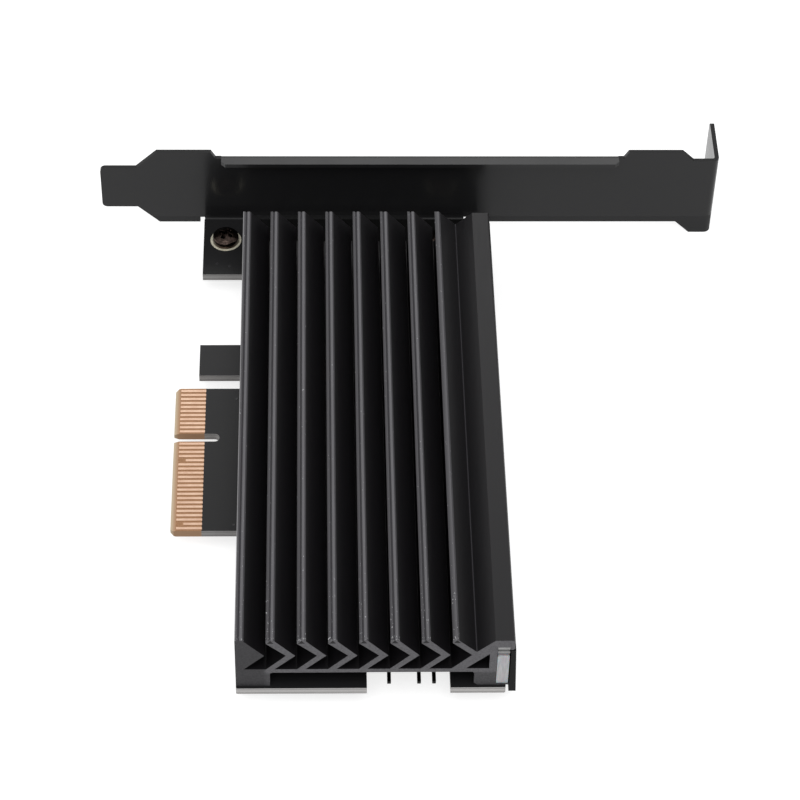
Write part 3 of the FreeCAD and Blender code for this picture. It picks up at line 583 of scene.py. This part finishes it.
grainedLooks = {
    # finish: name, two close colours, range of roughness, metallic, grain mm, relief mm,
    # and where it matters stretch and other sockets
    # turned or headed steel under black zinc: dark brown-black mirror with a soft haze
    "screw": ("black_zinc_plated_steel", ("#241E1C", "#463B36"), (0.14, 0.26), 1.0, 0.3, 0.02),
    # cast silicone: even soft grey with no gleam
    "silicone": ("cast_silicone", ("#8D939B", "#858B93"), (0.8, 0.9), 0.0, 0.2, 0.006),
    # extruded acrylic with white filler: milky, light sinks in a little way, sawn end drawn in fine streaks
    "opal": ("extruded_opal_acrylic", ("#C8C7C9", "#AFAEB2"), (0.35, 0.45), 0.0, 0.25, 0.006, (1, 30, 8),
             {"Subsurface Weight": 0.4, "Subsurface Scale": 0.002}),
    # frosted polyester film: dull translucent white
    "film": ("frosted_polyester_film", ("#9C9C9C", "#8E8E8E"), (0.6, 0.7), 0.0, 0.3, 0.004),
    # white solder mask on a thin strip: chalky, slightly uneven
    "whiteMask": ("printed_white_solder_mask", ("#A6A6A6", "#929292"), (0.5, 0.6), 0.0, 0.4, 0.003),
    # transfer-moulded packages: creamy, slightly glossy
    "led": ("moulded_white_epoxy", ("#D8D8C8", "#CFCFC0"), (0.3, 0.4), 0.0, 0.3, 0.003),
    # laminated polyester lead: dull cream with lines along it
    "flatLead": ("laminated_polyester_lead", ("#C8C5BA", "#B9B6AA"), (0.35, 0.5), 0.0, 0.25, 0.004,
                 (1, 1, 20)),
    # extruded polycarbonate with a smoke dye: near black, with a faint gleam
    "smoked": ("extruded_smoked_polycarbonate", ("#060607", "#09090A"), (0.22, 0.3), 0.0, 4.0, 0.004,
               (1, 8, 1), {"Specular IOR Level": 0.09}),
    # injection-moulded nylon with short glass: matt black with a grainy skin
    "nylon": ("moulded_glass_filled_nylon", ("#101010", "#191919"), (0.5, 0.65), 0.0, 0.15, 0.006,
              (1, 1, 1), {"Specular IOR Level": 0.35}),
    # drawn square wire under black nickel: dark, with draw lines along the pin
    "pin": ("black_nickel_plated_wire", ("#1A1A1A", "#242424"), (0.25, 0.4), 1.0, 0.2, 0.004, (1, 12, 1)),
    # matt tin: pale grey with a fine crystal grain
    "tin": ("matt_tin_plating", ("#BDBDB8", "#A6A6A2"), (0.35, 0.5), 1.0, 0.12, 0.004),
    # lathe-turned brass under nickel: warm grey rings round the axis
    "nickel": ("nickel_plated_turned_brass", ("#B8B2A2", "#A59F90"), (0.25, 0.35), 1.0, 0.1, 0.004,
               (9, 9, 1)),
    # transfer-moulded black epoxy: dull black from its fine filler
    "epoxy": ("moulded_black_epoxy", ("#161616", "#1E1E1E"), (0.5, 0.65), 0.0, 0.08, 0.004),
    # pressed ferrite powder: dark grey, dry and grainy
    "ferrite": ("pressed_ferrite_powder", ("#3B3B3D", "#474749"), (0.6, 0.75), 0.0, 0.12, 0.008),
    # fired ceramic: smooth tan with faint clouds
    "ceramic": ("fired_tan_ceramic", ("#8A6B4C", "#7A5D40"), (0.45, 0.6), 0.0, 0.1, 0.003),
    # glass over a screen-printed film: black and glossy
    "resistor": ("glazed_thick_film", ("#121212", "#1B1B1B"), (0.2, 0.3), 0.0, 0.2, 0.002),
    # mask over copper: the same black as the board, a shade lighter where copper lies close under it
    "track": ("solder_mask_over_copper", ("#1B1B1D", "#232325"), (0.24, 0.34), 0.0, 0.25, 0.002,
              (1, 1, 1), {"Specular IOR Level": 0.3}),
    # screen-printed epoxy ink: flat white with a slightly broken surface
    "ink": ("screen_printed_white_ink", ("#D4D4D0", "#BDBDB9"), (0.6, 0.75), 0.0, 0.12, 0.004),
    # reflowed solder: bright, softly dimpled
    "solder": ("reflowed_tin_solder", ("#C9C9C6", "#B1B1AE"), (0.18, 0.3), 1.0, 0.25, 0.008),
}
grainStrength = 0.6  # of the bump in all of these


def grainedFinish(name, colours, roughness, metallic, sizeMm, depthMm, stretch=(1, 1, 1), others=None):
    # two close colours and two roughnesses carried by one grain, which is the relief too
    material, add, point, _ = startMaterial(name)
    pattern = grain(add, point, sizeMm, stretch=stretch)
    tone = add("MapRange", {0: pattern, **limits(wideNoise)})[0]
    colour = layered(add, colours[0], (tone, colours[1]))
    rough = add("MapRange", {0: tone, **span(roughness)})[0]
    return finishMaterial(material, add, pattern, grainStrength, depthMm, {
        "Base Color": colour, "Metallic": metallic, "Roughness": rough, **(others or {})})


finishes = {
    "anodised": anodisedExtrusion(),
    "coat": coatedSteel(),
    "laminate": maskedLaminate(),
    "gold": goldContact(),
    "pad": tinnedPad(),
    **{finish: grainedFinish(*look) for finish, look in grainedLooks.items()},
}

dressing = {
    "circuit_board": "laminate", "edge_contacts_front": "gold", "edge_contacts_back": "gold",
    "screw_pads": "pad", "io_bracket": "coat", "bracket_screws": "screw", "heatsink": "anodised",
    "heatsink_screws": "screw", "thermal_pad": "silicone", "light_bar": "opal", "diffuser_film": "film",
    "led_strip_board": "whiteMask", "strip_leds": "led", "strip_lead": "flatLead", "side_cover": "smoked",
    "header_body": "nylon", "header_pins": "pin", "m2_socket_housing": "nylon", "m2_socket_contacts": "tin",
    "m2_standoff": "nickel", "m2_screw": "screw", "voltage_regulator": "epoxy", "power_inductor": "ferrite",
    "bulk_capacitors": "ceramic", "chip_capacitors": "ceramic", "chip_resistors": "resistor",
}
for name, finish in dressing.items():
    nodes[name].material_slots[0].material = finishes[finish]
print("stage 3: finishes on", len(dressing), "parts")


meshMaking = {
    "weldMm": 0.0005,  # points nearer than this become one
    "sharpAt": 35,  # degrees between faces, from which an edge isn't shaded smooth
    "sunk": 0.01,  # mm that a piece on the board reaches into its face
}


def addPiece(name, patches, finish, replaced=None):
    # each patch is an array of grids, copies x rows x columns x 3 in mm, with a quad between neighbours
    points, quads, start = [], [], 0
    for patch in patches:
        patch = patch if patch.ndim == 4 else patch[None]
        index = start + np.arange(patch[..., 0].size).reshape(patch.shape[:3])
        corners = (index[:, :-1, :-1], index[:, 1:, :-1], index[:, 1:, 1:], index[:, :-1, 1:])
        quads.append(np.stack(corners, axis=-1).reshape(-1, 4))
        points.append(patch.reshape(-1, 3))
        start += patch[..., 0].size
    mesh = bpy.data.meshes.new(name)
    mesh.from_pydata((np.concatenate(points) * mm).tolist(), [], np.concatenate(quads).tolist())
    work = bmesh.new()
    work.from_mesh(mesh)
    bmesh.ops.remove_doubles(work, verts=work.verts, dist=meshMaking["weldMm"] * mm)
    bmesh.ops.dissolve_degenerate(work, edges=work.edges, dist=meshMaking["weldMm"] * mm)
    bmesh.ops.recalc_face_normals(work, faces=work.faces)
    work.to_mesh(mesh)
    work.free()
    mesh.shade_smooth()
    mesh.set_sharp_from_angle(angle=math.radians(meshMaking["sharpAt"]))
    mesh.materials.append(finishes[finish])
    piece = bpy.data.objects.new(name, mesh)
    bpy.context.scene.collection.objects.link(piece)
    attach(piece, "root")
    if replaced:
        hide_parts(replaced)
    print("  piece", name, len(mesh.polygons), "faces")


def turned(radii, heights, count):
    # a profile turned about the upright axis: the point is (r cos a, r sin a, h), a once round
    angle = np.linspace(0, 2 * math.pi, count + 1)
    radii, heights = np.asarray(radii, float)[:, None], np.asarray(heights, float)[:, None]
    return np.stack([radii * np.cos(angle), radii * np.sin(angle), heights + 0 * angle], axis=-1)


def placed(grid, places, flip=False):
    # copies of one grid at each place; flip turns it over to hang from its place
    grid = grid * (np.array([1, 1, -1]) if flip else 1)
    return grid[None] + np.asarray(places, float)[:, None, None, :]


def smoothStep(value):
    # 0 below 0, 1 above 1, and 3v squared less 2v cubed between
    value = np.clip(value, 0, 1)
    return value * value * (3 - 2 * value)


# millimetres, apart from the counts and the turn, which is in radians;
# recess and arm are the cross's length and width, and shank is a radius
bracketScrew = {
    "head": 2.5, "headHeight": 1.9, "dome": 0.6, "edge": 0.4, "crownRings": 44, "columns": 128,
    "recess": 2.7, "arm": 0.72, "recessEdge": 0.14, "recessDepth": 0.95, "turn": 0.5,
    "shank": 1.5, "length": 3.99, "pitch": 0.5, "threadDepth": 0.3, "threadRings": 82,
}
footScrew = {
    "head": 1.9, "headHeight": 1.3, "dome": 0.22, "edge": 0.4, "crownRings": 32, "columns": 96,
    "recess": 2.0, "arm": 0.6, "recessEdge": 0.12, "recessDepth": 0.65, "turn": 0.9,
    "shank": 1.0, "length": 4.59, "pitch": 0.4, "threadDepth": 0.22, "threadRings": 40,
}
ssdScrew = {
    "head": 2.2, "headHeight": 0.8, "dome": 0.08, "edge": 0.2, "crownRings": 32, "columns": 96,
    "recess": 2.2, "arm": 0.6, "recessEdge": 0.12, "recessDepth": 0.45, "turn": 0.2,
    "shank": 1.0, "length": 2.39, "pitch": 0.4, "threadDepth": 0.22, "threadRings": 30,
}
anyScrew = {
    "bendRings": 6,  # over the head's rounded edge
    "armRise": 0.4,  # share of the recess's depth lost at the ends of its arms
    "chamfer": 0.08,  # mm, under the head
    "runIn": 0.8,  # turns over which the thread gets its depth
    "taper": 0.35,  # mm of blunt cone at the tip
    "tipShare": 0.72,  # of the shank's radius at its end
}


def crossScrew(spec):
    # rings from the crown's middle, over the head and down the shank to its tip:
    # crown height = top - dome (r / R) squared, less a cross whose arms get shallower outwards;
    # thread radius = shank less depth times a triangle wave of (height / pitch + turn)
    angle = np.linspace(0, 2 * math.pi, spec["columns"] + 1)
    headR, headH, dome, edge = spec["head"], spec["headHeight"], spec["dome"], spec["edge"]
    ringR = np.linspace(0, headR - edge, spec["crownRings"])[:, None] + 0 * angle
    across = ringR * np.cos(angle + spec["turn"])
    along = ringR * np.sin(angle + spec["turn"])
    half, arm, soft = spec["recess"] / 2, spec["arm"] / 2, spec["recessEdge"]
    cross = np.zeros_like(ringR)
    for u, v in ((across, along), (along, across)):
        inside = smoothStep((arm - np.abs(v)) / soft + 0.5) * smoothStep((half - np.abs(u)) / soft + 0.5)
        cross = np.maximum(cross, inside * (1 - anyScrew["armRise"] * np.abs(u) / half))
    crownH = headH - dome * (ringR / (headR - edge)) ** 2 - spec["recessDepth"] * cross
    bend = np.linspace(0, math.pi / 2, anyScrew["bendRings"])[1:, None] + 0 * angle
    bendR = headR - edge + edge * np.sin(bend)
    bendH = headH - dome - edge * (1 - np.cos(bend))
    chamfer, shank = anyScrew["chamfer"], spec["shank"]
    underR = np.array([[headR], [headR - chamfer], [shank]]) + 0 * angle
    underH = np.array([[chamfer], [0], [0]]) + 0 * angle
    length, pitch = spec["length"], spec["pitch"]
    down = np.linspace(0, length - anyScrew["taper"], spec["threadRings"])[:, None] + 0 * angle
    wave = np.abs(((down / pitch + angle / (2 * math.pi)) % 1) * 2 - 1)
    fade = smoothStep(down / (anyScrew["runIn"] * pitch))
    threadR = shank - fade * spec["threadDepth"] * wave
    tipR = np.array([[shank * anyScrew["tipShare"]], [0]]) + 0 * angle
    tipH = np.array([[-length], [-length]]) + 0 * angle
    radius = np.concatenate([ringR, bendR, underR, threadR, tipR])
    height = np.concatenate([crownH, bendH, underH, -down, tipH])
    return np.stack([radius * np.cos(angle), radius * np.sin(angle), height], axis=-1)


low, high = boxMm("bracket_screws")
bracketScrewPlaces = [(x, (low[1] + high[1]) / 2, high[2] - bracketScrew["headHeight"])
                      for x in (low[0] + bracketScrew["head"], high[0] - bracketScrew["head"])]
addPiece("pan_head_bracket_screws", [placed(crossScrew(bracketScrew), bracketScrewPlaces)],
         "screw", "bracket_screws")
low, high = boxMm("heatsink_screws")
footScrewPlaces = [(x, y, low[2] + footScrew["headHeight"])
                   for x in (low[0] + footScrew["head"], high[0] - footScrew["head"])
                   for y in (low[1] + footScrew["head"], high[1] - footScrew["head"])]
addPiece("pan_head_heatsink_screws", [placed(crossScrew(footScrew), footScrewPlaces, flip=True)],
         "screw", "heatsink_screws")
low, high = boxMm("m2_screw")
ssdScrewPlace = ((low[0] + high[0]) / 2, (low[1] + high[1]) / 2, high[2] - ssdScrew["headHeight"])
addPiece("flat_head_ssd_screw", [placed(crossScrew(ssdScrew), [ssdScrewPlace])],
         "screw", "m2_screw")
print("stage 4: screws")


def closedStrip(rows):
    # a ring of points carried along rows, shut at both ends by the mean point of the end ring
    start, end = (np.repeat(rows[i].mean(axis=0)[None, None], rows.shape[1], axis=1) for i in (0, -1))
    return np.concatenate([start, rows, end])


def ribbon(path, width, faceZ, rise):
    # a flat-topped strip along a path on a level face, with a fifth of its rise sunk into the face:
    # at a corner its sides move out along (n1 + n2) / (1 + n1.n2), where n1 and n2 are the normals
    # of the two runs, which mitres it
    path = np.asarray(path, float)
    run = np.diff(path, axis=0)
    run /= np.linalg.norm(run, axis=1, keepdims=True)
    side = np.stack([-run[:, 1], run[:, 0]], axis=1)
    before, after = np.concatenate([side[:1], side]), np.concatenate([side, side[-1:]])
    mitre = (before + after) / (1 + (before * after).sum(axis=1, keepdims=True))
    offsets = np.array([-0.5, -0.5, 0.5, 0.5, -0.5]) * width
    offsets = offsets + np.array([0, 1, -1, 0, 0]) * min(abs(rise), width / 4)
    heights = np.array([-0.2 * rise, rise, rise, -0.2 * rise, -0.2 * rise]) + faceZ
    flat = path[:, None, :] + mitre[:, None, :] * offsets[None, :, None]
    upright = np.broadcast_to(heights[None, :, None], flat.shape[:2] + (1,))
    return closedStrip(np.concatenate([flat, upright], axis=2))


chipRows = {
    # node: count, length, width, end cap, solder reach, all mm
    "chip_capacitors": (8, 1.0, 0.5, 0.25, 0.22),
    "chip_resistors": (5, 1.0, 0.5, 0.2, 0.22),
    "bulk_capacitors": (4, 2.0, 1.25, 0.4, 0.35),
}
tracks = {
    "width": 0.17,  # mm
    "rise": 0.035,  # one ounce of copper
    "overlap": 0.1,  # mm that a track reaches under its contact or capacitor
    "breakOut": 8.6,  # mm from the tip, where the tracks leave the contacts and slant to the capacitors
    "everySecond": 2.0,  # mm between the contacts that they come from
    "firstContact": 0.5,  # mm from the first capacitor to the first of these
    "laneStart": 17.35,  # mm from the tip, beside the inductor
    "laneEnd": 36.0,  # mm along the card, where the pairs turn to the socket
    "pairGap": 0.28,
    "pairSpace": 0.12,
    "corner": 0.8,  # mm cut off a lane's corners
    "socketCorner": 0.6,  # mm cut off the last corner
    "socketVia": (25.6, 1.5),  # mm from the tip to the first via by the socket, and between them
    "viaRow": (39.4, 0.5),  # mm along the card to the near row of these, and to the far one
    "lightEdge": 1.2,  # mm from the board's right edge to the light header's first track
    "lightGap": 0.36,
    "lightRun": (1.6, 0.5),  # mm from the header to the last track's turn, and between turns
    "lightCorner": (0.5, 0.6),  # mm cut off its two corners
    "lightVia": (44.6, 0.9),  # mm along the card to the first of its vias, and between them
    "powerWidth": 1.1,
    "power": (
        [(22.0, -27.6), (22.0, -33.5), (30.0, -41.5)],
        [(26.5, -21.0), (37.5, -21.0), (40.5, -18.0), (40.5, 20.0), (37.0, 23.5), (37.0, 34.0)],
        [(13.6, -33.0), (20.4, -33.0)],
    ),
}
solderZ = boardLow[2]
capLow, capHigh = boxMm("chip_capacitors")
capCount, _, capWidth = chipRows["chip_capacitors"][:3]
capRow = np.linspace(capLow[1] + capWidth / 2, capHigh[1] - capWidth / 2, capCount)
backContacts = capRow.min() + tracks["firstContact"] + np.arange(capCount) * tracks["everySecond"]
pinLow, pinHigh = boxMm("header_pins")
pinHalf = 0.32  # mm, half a pin's width
pinPitch = (pinHigh[0] - pinLow[0] - 2 * pinHalf) / 3
tails = np.array([[pinLow[0] + pinHalf + k * pinPitch, pinHigh[1] - pinHalf] for k in (0, 2, 3)])


def signalPaths():
    # each signal goes from its contact to its capacitor, then up its own lane and across to its via;
    # the light header's three run up the card's right edge
    paths, ends = [], []
    overlap, corner = tracks["overlap"], tracks["corner"]
    for k, (contactY, capY) in enumerate(zip(backContacts, capRow)):
        slantTo = tracks["breakOut"] + abs(capY - contactY) + 0.01  # so that no run has length 0
        paths.append([(contactHigh[0] - overlap, contactY), (tracks["breakOut"], contactY), (slantTo, capY),
                      (capLow[0] + overlap, capY)])
        inner = capCount - 1 - k
        lane = tracks["laneStart"] + inner * tracks["pairGap"] + inner // 2 * tracks["pairSpace"]
        across = tracks["laneEnd"] - inner * tracks["pairGap"] - inner // 2 * tracks["pairSpace"]
        viaX = tracks["socketVia"][0] + inner * tracks["socketVia"][1]
        viaY = tracks["viaRow"][0] + tracks["viaRow"][1] * (inner % 2)
        last = tracks["socketCorner"]
        paths.append([(capHigh[0] - overlap, capY), (lane - corner, capY), (lane, capY + corner),
                      (lane, across - corner), (lane + corner, across), (viaX - last, across),
                      (viaX, across + last), (viaX, viaY)])
        ends.append((viaX, viaY))
    first, second = tracks["lightCorner"]
    for k, (x, y) in enumerate(tails):
        lane = boardHigh[0] - tracks["lightEdge"] + tracks["lightGap"] * k
        cross = y + tracks["lightRun"][0] + tracks["lightRun"][1] * (2 - k)
        viaY = tracks["lightVia"][0] + tracks["lightVia"][1] * k
        paths.append([(x, y), (x, cross - first), (x + first, cross), (lane - second, cross),
                      (lane, cross + second), (lane, viaY)])
        ends.append((lane, viaY))
    return paths, ends


vias = {
    "radius": 0.3,
    "columns": 14,
    "rearRow": (1.3, 14.0, 46.0, 3.2),  # mm from the rear edge, then first, last and pitch from the tip
    "rightRow": (2.4, -40.0, 34.0, 5.2),  # mm from the right edge, then the same along the card
    "leftRow": (13.3, (-40.0, -34.5, -29.0, 20.0, 25.0, 30.0)),  # mm from the tip, and along the card
    "tongueRow": (10.4, (-21.0, 3.0, 6.0, 9.0)),  # the same
    "ear": (9.6, 43.8),
    "top": ((9.35, 44.1), (6.9, 44.9), (11.2, 9.6), (11.2, -20.6)),  # those that show beside the heatsink
}


def viaGrid():
    # a low dome with a filled dimple, the hole's tented rim, by shares of its radius and rise
    radius, rise = vias["radius"], tracks["rise"]
    return turned([0, 0.3 * radius, 0.55 * radius, 0.9 * radius, radius, 0],
                  [0.15 * rise, 0.3 * rise, rise, rise, -0.2 * rise, -0.2 * rise], vias["columns"])


def stitchPlaces():
    # plain rows of vias that join the ground on both sides
    fromRear, *rear = vias["rearRow"]
    fromRight, *right = vias["rightRow"]
    places = [(x, boardHigh[1] - fromRear) for x in np.arange(*rear)]
    places += [(boardHigh[0] - fromRight, y) for y in np.arange(*right)]
    for x, ys in (vias["leftRow"], vias["tongueRow"]):
        places += [(x, y) for y in ys]
    return places + [vias["ear"]]


signals, signalEnds = signalPaths()
trackGrids = [ribbon(path, tracks["width"], solderZ, -tracks["rise"]) for path in signals]
trackGrids += [ribbon(path, tracks["powerWidth"], solderZ, -tracks["rise"]) for path in tracks["power"]]
trackGrids.append(placed(viaGrid(), [(x, y, solderZ) for x, y in signalEnds + stitchPlaces()], flip=True))
addPiece("masked_copper_tracks", trackGrids, "track")
addPiece("masked_vias", [placed(viaGrid(), [(x, y, boardHigh[2]) for x, y in vias["top"]])],
         "track")


endCaps = {
    "lift": 0.02,  # mm of tin over the ceramic
    "wet": 0.75,  # share of a chip's height that the solder climbs
    "foot": 0.02,  # share of it at the pad's outer end
    "arcPoints": 7,
    "coilLead": (1.8, 0.5, 0.45, 0.28),  # inductor: width, reach under and out, thickness, mm
    "chipLead": (0.24, 0.2, 0.22, 0.12),  # regulator: the same
    "chipLeads": (6, 0.45),  # regulator: leads on each side, and their pitch
}


def endCap(size, capLength, reach):
    # tinned end and solder of a chip, as an outline carried across its width: up the end, over the
    # top by capLength, down, and out along the pad, with the solder's surface a quarter circle
    # that is hollow towards the outside
    length, width, height = size
    lift, sunk = endCaps["lift"], meshMaking["sunk"]
    arc = np.linspace(0, math.pi / 2, endCaps["arcPoints"])
    solderU = length / 2 + lift + reach * (1 - np.sin(arc))
    foot = endCaps["foot"]
    solderW = endCaps["wet"] * height * (1 - np.cos(arc)) * (1 - foot) + foot * height
    outline = [(u, w) for u, w in zip(solderU, solderW)]
    outline += [(length / 2 + lift, height), (length / 2, height + lift),
                (length / 2 - capLength, height + lift), (length / 2 - capLength, -sunk),
                (length / 2 + lift + reach, -sunk)]
    outline = np.array(outline + outline[:1])
    rows = [np.stack([outline[:, 0], np.full(len(outline), side * (width / 2 + lift)), outline[:, 1]], axis=1)
            for side in (-1, 1)]
    return closedStrip(np.array(rows))


def sideLead(edgeX, y, side, lead):
    # a flat lead that starts under a package and ends outside it
    width, under, out, thick = lead
    return ribbon([(edgeX - side * under, y), (edgeX + side * out, y)], width, solderZ, -thick)


capGrids = []
for node, (count, length, width, cap, reach) in chipRows.items():
    low, high = boxMm(node)
    middle = (low + high) / 2
    if high[1] - low[1] > high[0] - low[0]:
        xs, ys = np.full(count, middle[0]), np.linspace(low[1] + width / 2, high[1] - width / 2, count)
    else:
        xs, ys = np.linspace(low[0] + length / 2, high[0] - length / 2, count), np.full(count, middle[1])
    grid = endCap((length, width, high[2] - low[2]), cap, reach)
    places = np.stack([xs, ys, np.full(count, solderZ)], axis=1)
    capGrids += [placed(grid, places, flip=True), placed(grid * np.array([-1, 1, 1]), places, flip=True)]
coilLow, coilHigh = boxMm("power_inductor")
coilMiddle = (coilLow + coilHigh) / 2
for side in (-1, 1):
    edgeX = coilMiddle[0] + side * (coilHigh[0] - coilLow[0]) / 2
    capGrids.append(sideLead(edgeX, coilMiddle[1], side, endCaps["coilLead"]))
regulatorLow, regulatorHigh = boxMm("voltage_regulator")
leadCount, leadPitch = endCaps["chipLeads"]
for side, edgeX in ((-1, regulatorLow[0]), (1, regulatorHigh[0])):
    for k in range(leadCount):
        y = (regulatorLow[1] + regulatorHigh[1]) / 2 + (k - (leadCount - 1) / 2) * leadPitch
        capGrids.append(sideLead(edgeX, y, side, endCaps["chipLead"]))
addPiece("chip_end_caps", capGrids, "tin")


joint = {
    "radius": 0.95,  # mm
    "core": 0.42,  # radius at the pin's end
    "rise": 1.0,
    "hollow": 1.7,  # power of the side's curve
    "rings": 9,
    "columns": 24,
    # rim of solder round the standoff: radii and heights, mm
    "rim": ([1.72, 1.8, 2.3, 2.55, 2.6, 1.72], [0.02, 0.16, 0.12, 0.03, -0.01, -0.01]),
    "rimColumns": 48,
}


def solderCone():
    # radius = core + (radius - core) times (1 - h / rise) to a power: hollow-sided, as wetted solder is
    height = np.linspace(0, joint["rise"], joint["rings"])
    side = joint["core"] + (joint["radius"] - joint["core"]) * (1 - height / joint["rise"]) ** joint["hollow"]
    return turned([0, *side, 0], [-meshMaking["sunk"], *height, joint["rise"]], joint["columns"])


low, high = boxMm("m2_standoff")
standoff = (low + high) / 2
rim = turned(*joint["rim"], joint["rimColumns"])
jointGrids = [placed(solderCone(), [(x, y, solderZ) for x, y in tails], flip=True),
              placed(rim, [(standoff[0], standoff[1], solderZ)], flip=True)]
addPiece("header_solder_joints", jointGrids, "solder")

testPads = {
    "profile": ([0, 0.5, 0.55, 0.55, 0], [0.045, 0.045, 0.03, -0.01, -0.01]),  # radii and heights, mm
    "columns": 24,
    "places": [(30.5 + 2.6 * k, -8.5) for k in range(4)] + [(48.5, -30.0), (48.5, -26.5)],
}
addPiece("test_pads", [placed(turned(*testPads["profile"], testPads["columns"]),
                              [(x, y, solderZ) for x, y in testPads["places"]], flip=True)],
         "gold")

ink = {
    "width": 0.16,  # mm
    "rise": 0.014,
    "corner": 0.5,
    "gaps": {"power_inductor": 0.75, "voltage_regulator": 0.6, "bulk_capacitors": 0.65,
             "chip_resistors": 0.6},
    "headerGap": (1.3, 0.1),  # from the header's outer tails, and once more round that
    "screwRing": 2.35,  # radius
    "standoffRing": 3.1,
    "ringPoints": 49,
    "dot": ([0, 0.22, 0.25, 0], [0.014, 0.014, -0.003, -0.003], 16),  # radii, heights, columns
    "dotPlace": (19.6, -26.6),  # at the regulator's first lead
}


def loopPath(low, high, gap):
    # rectangle round a part at gap from it, with cut corners, closed by ending where it starts
    x0, y0, x1, y1 = low[0] - gap, low[1] - gap, high[0] + gap, high[1] + gap
    cut = ink["corner"]
    return [((x0 + x1) / 2, y0), (x1 - cut, y0), (x1, y0 + cut), (x1, y1 - cut), (x1 - cut, y1),
            (x0 + cut, y1), (x0, y1 - cut), (x0, y0 + cut), (x0 + cut, y0), ((x0 + x1) / 2, y0)]


def ringPath(x, y, radius):
    # a circle of points, closed by ending where it starts
    angle = np.linspace(0, 2 * math.pi, ink["ringPoints"])
    return np.stack([x + radius * np.cos(angle), y + radius * np.sin(angle)], axis=1)


inkPaths = [loopPath(*boxMm(node), gap) for node, gap in ink["gaps"].items()]
around, gap = ink["headerGap"]
inkPaths.append(loopPath((tails[0, 0] - around, tails[0, 1] - around),
                         (tails[2, 0] + around, tails[0, 1] + around), gap))
inkPaths += [ringPath(x, y, ink["screwRing"]) for x, y, _ in footScrewPlaces]
inkPaths.append(ringPath(standoff[0], standoff[1], ink["standoffRing"]))
inkGrids = [ribbon(path, ink["width"], solderZ, -ink["rise"]) for path in inkPaths]
inkGrids.append(placed(turned(*ink["dot"]), [(*ink["dotPlace"], solderZ)], flip=True))
addPiece("printed_outlines", inkGrids, "ink")
print("stage 5: tracks, solder and print on the solder side")

bpy.context.scene.view_settings.view_transform = "Standard"
